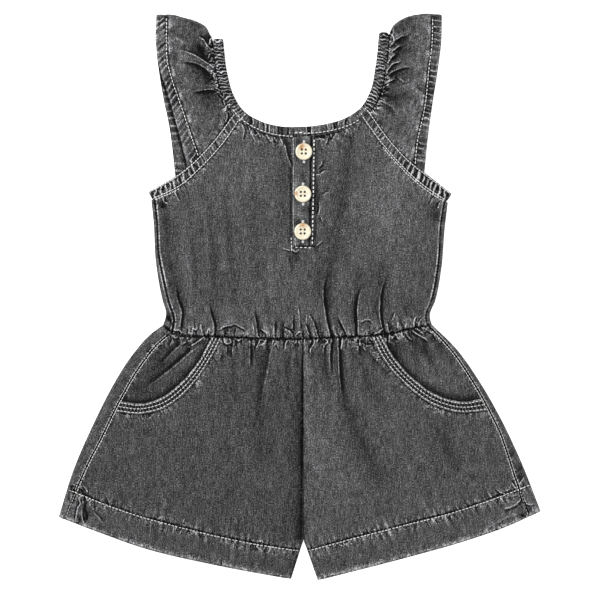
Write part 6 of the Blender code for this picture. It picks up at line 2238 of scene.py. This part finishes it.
class ArmholeBindingMaker(bpy.types.Operator):
    """Lays the bands that join the sleeves to the bodice"""

    bl_idname = "romper.armhole_bindings"
    bl_label = "Armhole bindings"

    def execute(self, context):
        for side in SIDES:
            name = f"armhole_binding_{side}"
            piece = binding_band(side).build(f"{name}_cloth", trim(context), BINDING_RING_STEPS)
            dress([name])
        return {"FINISHED"}


class SleeveMaker(bpy.types.Operator):
    """Folds the flutter sleeves over the shoulders"""

    bl_idname = "romper.sleeves"
    bl_label = "Flutter sleeves"

    def execute(self, context):
        for side in SIDES:
            piece = sleeve_sheet(side, f"sleeve_{side}_cloth", denim(context), cloth_wall(context))
            dress([f"sleeve_{side}"])
        return {"FINISHED"}


class LegFrontMaker(bpy.types.Operator):
    """Lays the fronts of the shorts with their gathers, creases and hems"""

    bl_idname = "romper.leg_fronts"
    bl_label = "Shorts fronts"

    def execute(self, context):
        for side in SIDES:
            name, points = f"leg_front_{side}", leg_front_points(side, *GRIDS["leg_front"])
            piece = laid_sheet(f"{name}_cloth", points, leg_drape(side), denim(context), cloth_wall(context))
            dress([name])
        return {"FINISHED"}


class LegBackMaker(bpy.types.Operator):
    """Lays the backs of the shorts, rolled round the sides"""

    bl_idname = "romper.leg_backs"
    bl_label = "Shorts backs"

    def execute(self, context):
        for side in SIDES:
            patch = leg_patch(side)
            rolls = {"left": LEGS[side].seam_offsets[::-1]}
            back_seams = [
                (WAIST_LINE, SEAMS["back_waist"]),
                (inner_leg_line(side), SEAMS["back_seam"]),
                (curve(HEM_ROWS[side]), SEAMS["back_seam"]),
            ]
            name, grid = f"leg_back_{side}", GRIDS["leg_back"]
            piece = rolled_back(
                name, patch, rolls, grid, leg_drape(side), back_seams, denim(context), cloth_wall(context)
            )
            dress([name])
        return {"FINISHED"}


class PocketMaker(bpy.types.Operator):
    """Lays the pocket facings and the bands round their scoops"""

    bl_idname = "romper.pockets"
    bl_label = "Pockets"

    def execute(self, context):
        for side in SIDES:
            points = pocket_facing_points(side, *GRIDS["pocket_facing"])
            facing, band = f"pocket_facing_{side}", f"pocket_band_{side}"
            piece = laid_sheet(f"{facing}_cloth", points, pocket_drape(side), denim(context), POCKET_WALL)
            dress([facing])
            points = pocket_band_points(side, *GRIDS["pocket_band"])
            piece = laid_sheet(f"{band}_cloth", points, pocket_band_drape(side), trim(context), BAND_WALL)
            dress([band])
        return {"FINISHED"}


class PlacketMaker(bpy.types.Operator):
    """Lays the buttoned placket over the bodice"""

    bl_idname = "romper.placket"
    bl_label = "Placket"

    def execute(self, context):
        points = placket_points(*GRIDS["placket"])
        piece = laid_sheet("placket_cloth", points, placket_drape(), trim(context), PLACKET_WALL)
        dress(["placket"])
        return {"FINISHED"}


class ButtonMaker(bpy.types.Operator):
    """Turns the three horn buttons"""

    bl_idname = "romper.buttons"
    bl_label = "Buttons"

    def execute(self, context):
        colours = context.scene.romper_buttons
        for button in BUTTONS:
            name, centre, amber = f"{button.node}_horn", (button.x, button.y), (*colours.amber, 1.0)
            finish = button_finish(name, centre, colours.cream, amber, button.ambers)
            piece = turned_button(button, f"{button.node}_turned", finish)
            dress([button.node])
        return {"FINISHED"}


class StitchMaker(bpy.types.Operator):
    """Sews the rows of pale topstitching"""

    bl_idname = "romper.stitches"
    bl_label = "Topstitching"

    def execute(self, context):
        sizes = context.scene.romper_thread
        plain = Stitches(sizes.stitch / MM, sizes.pitch / MM, sizes.radius / MM)
        fine = Stitches(plain.length * 0.95, plain.pitch * 0.82, plain.radius * 0.9)
        thick = Stitches(2.3, 3.3, 0.62)
        material = thread_finish("pale_thread", sizes.colour)
        groups = {
            "thread_hems": self.hems(plain, fine._replace(radius=0.25)),
            "thread_pockets": self.pockets(plain),
            "thread_armholes": self.armholes(fine),
            "thread_sleeves": self.sleeves(plain),
            "thread_neck": self.neck(plain),
            "thread_placket": self.placket(plain, thick),
            "thread_buttonholes": self.buttonholes(fine),
        }
        for name, runs in groups.items():
            piece = thread_mesh(name, runs, material)
        return {"FINISHED"}

    def hems(self, kind, fine):
        runs = []
        for side in SIDES:
            top, seam = leg_drape(side), leg_seam(side)
            runs.append(stitch_run(curve(HEM_ROWS[side]), top.height, kind, 1))
            crossing = seam.share_at_y(-155.0)
            outer = -0.95 * inward(side)
            for gap, thread in ((outer, fine._replace(radius=0.3)), (-outer, fine._replace(radius=0.2))):
                runs.append(stitch_run(seam.offset(gap), top.height, thread, 2, 0.1, crossing, 0.97))
            runs.append(stitch_run(seam, top.height, fine._replace(length=1.9), 2, 0.05, 0.01, crossing))
            runs.append(stitch_run(curve(HEM_ROWS[side]), level(0.35), kind, 3, 0.0))
        return runs

    def pockets(self, kind):
        runs = []
        one = kind._replace(radius=0.33)
        for side in SIDES:
            top = pocket_band_drape(side)
            for row in BAND_ROWS:
                line = Line(on_band(side, np.linspace(0.0, 1.0, CLOSE_POINTS), row))
                runs.append(stitch_run(line, top.height, one, 4 + int(row * 10), 0.1, 0.01, 0.99))
        return runs

    def armholes(self, kind):
        runs = []
        for side in SIDES:
            band = binding_band(side)
            for share in (-0.74, 0.8):
                runs.append(band_run(band, share, kind, 11))
            beside = curve(BODICE[side].armhole_lower).offset(0.9 * inward(side))
            start = 0.75 if side == "left" else 0.3
            runs.append(stitch_run(beside, bodice_drape().height, kind, 12, 0.1, start, 0.97))
            for crossing in CASING_CROSSINGS[side]:
                runs.append(stitch_run(Line(crossing), level(TOP + CASING_THICK / 2), kind, 13, 0.25))
        return runs

    def sleeves(self, kind):
        runs = []
        for side in SIDES:
            _, back = sleeve_patches(side)
            top, _ = sleeve_drapes(side)
            runs.append(stitch_run(curve(SLEEVE_ROWS[side]), top.height, kind, 14, 0.12, 0.01, 0.985))
            under = back.finish.offset(-inward(side) * SLEEVE_HEM)
            runs.append(stitch_run(under, level(0.3), kind, 16, 0.0, 0.03, 0.97))
        return runs

    def neck(self, kind):
        band = neck_band()
        return [
            band_run(band, (-0.9, -0.5), kind, 21, 0.0, 0.112),
            band_run(band, (-0.68, -0.4), kind, 22, 0.888, 0.985),
            band_run(band, -0.25, kind._replace(length=2.7, radius=0.55), 24, 0.985, 1.0),
            band_run(band, -0.68, kind, 23, 0.3, 0.7),
        ]

    def placket(self, kind, thick):
        top = placket_drape()
        foot = Line(((-4.0, 39.6), (10.2, 39.4)))
        box = Line(((-6.6, 48.0), (-6.2, 36.4)))
        return [
            stitch_run(curve(THICK_ROW), top.height, thick, 31, 0.2, 0.01, 0.99),
            stitch_run(foot, top.height, kind, 32, 0.1),
            stitch_run(box, bodice_drape().height, kind, 33, 0.15),
        ]

    def buttonholes(self, kind):
        """The whipped ends of each buttonhole, above and below its button."""
        top, runs = placket_drape(), []
        one = Stitches(2.2, 2.7, kind.radius)
        for button in BUTTONS:
            low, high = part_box(button.node)
            reach = (high.y - low.y) / 2 / MM
            for way in (-1, 1):
                for step in range(3):
                    y = button.y + way * (reach + 0.5 + 0.75 * step)
                    line = Line(((button.x - 1.3, y), (button.x + 1.3, y)))
                    runs.append(stitch_run(line, top.height, one, 40 + step, 0.15))
        return runs


KEY_PLACE, KEY_WIDTH = (-1.15, 0.75, 1.05), 0.75
FILL_PLACE, FILL_WIDTH = (1.3, -0.4, 1.1), 1.2
CAMERA_X, CAMERA_Y = 0.0004, -0.0024
SENSOR_WIDTH = 36.0


class StageMaker(bpy.types.Operator):
    """Sets the pale floor, the soft lights and the camera"""

    bl_idname = "romper.stage"
    bl_label = "Stage"

    def execute(self, context):
        sizes = context.scene.romper_stage
        self.floor(context, sizes)
        self.light(context, "key", KEY_PLACE, sizes.key, KEY_WIDTH)
        self.light(context, "fill", FILL_PLACE, sizes.fill, FILL_WIDTH)
        world = bpy.data.worlds.new("sky")
        world.use_nodes = True
        background = world.node_tree.nodes["Background"]
        background.inputs["Color"].default_value = (1.0, 1.0, 1.0, 1.0)
        background.inputs["Strength"].default_value = sizes.sky
        context.scene.world = world
        context.scene.view_settings.view_transform = "Standard"
        self.camera(context, sizes)
        return {"FINISHED"}

    def floor(self, context, sizes):
        mesh = bmesh.new()
        bmesh.ops.create_grid(mesh, x_segments=4, y_segments=4, size=sizes.floor / 2)
        bmesh.ops.translate(mesh, verts=list(mesh.verts), vec=(0, 0, -FLOOR_DEPTH * MM))
        data = mesh_data(mesh, "floor")
        finish = Finish("white_floor", 0.9)
        finish.shader.inputs["Base Color"].default_value = (0.9, 0.9, 0.9, 1.0)
        finish.shader.inputs["Emission Color"].default_value = (1.0, 1.0, 1.0, 1.0)
        finish.shader.inputs["Emission Strength"].default_value = 0.75
        data.materials.append(finish.material)
        floor = bpy.data.objects.new("floor", data)
        context.scene.collection.objects.link(floor)

    def light(self, context, name, place, power, size):
        lamp = bpy.data.lights.new(name, "AREA")
        lamp.shape, lamp.size, lamp.energy = "DISK", size, power
        made = bpy.data.objects.new(name, lamp)
        made.location = place
        made.rotation_mode = "QUATERNION"
        made.rotation_quaternion = made.location.to_track_quat("Z", "Y")
        context.scene.collection.objects.link(made)

    def camera(self, context, sizes):
        lens = bpy.data.cameras.new("camera")
        lens.lens = sizes.lens / MM
        lens.sensor_width = SENSOR_WIDTH
        distance = sizes.frame_side * lens.lens / SENSOR_WIDTH
        made = bpy.data.objects.new("camera", lens)
        made.location = (CAMERA_X, CAMERA_Y, distance + TOP * MM)
        context.scene.collection.objects.link(made)
        context.scene.camera = made


MAKERS = (
    BodiceFrontMaker,
    BodiceBackMaker,
    NeckCasingMaker,
    ArmholeBindingMaker,
    SleeveMaker,
    LegFrontMaker,
    LegBackMaker,
    PocketMaker,
    PlacketMaker,
    ButtonMaker,
    StitchMaker,
    StageMaker,
)
GROUPS = {
    "romper_cloth": RomperCloth,
    "romper_thread": RomperThread,
    "romper_buttons": RomperButtons,
    "romper_stage": RomperStage,
}


class RomperPanel(bpy.types.Panel):
    """The romper's sizes, colours and pieces"""

    bl_label = "Baby denim romper"
    bl_idname = "VIEW3D_PT_romper"
    bl_space_type = "VIEW_3D"
    bl_region_type = "UI"
    bl_category = "Romper"

    def draw(self, context):
        for name, group in GROUPS.items():
            box = self.layout.box()
            for setting in group.__annotations__:
                box.prop(getattr(context.scene, name), setting)
        for maker in MAKERS:
            self.layout.operator(maker.bl_idname)


def register():
    for group in GROUPS.values():
        bpy.utils.register_class(group)
    for name, group in GROUPS.items():
        setattr(bpy.types.Scene, name, PointerProperty(type=group))
    for maker in MAKERS:
        bpy.utils.register_class(maker)
    bpy.utils.register_class(RomperPanel)


def unregister():
    bpy.utils.unregister_class(RomperPanel)
    for maker in reversed(MAKERS):
        bpy.utils.unregister_class(maker)
    for name in GROUPS:
        delattr(bpy.types.Scene, name)
    for group in reversed(GROUPS.values()):
        bpy.utils.unregister_class(group)


def main():
    register()
    for maker in MAKERS:
        family, name = maker.bl_idname.split(".")
        getattr(getattr(bpy.ops, family), name)()


if __name__ == "__main__":
    main()
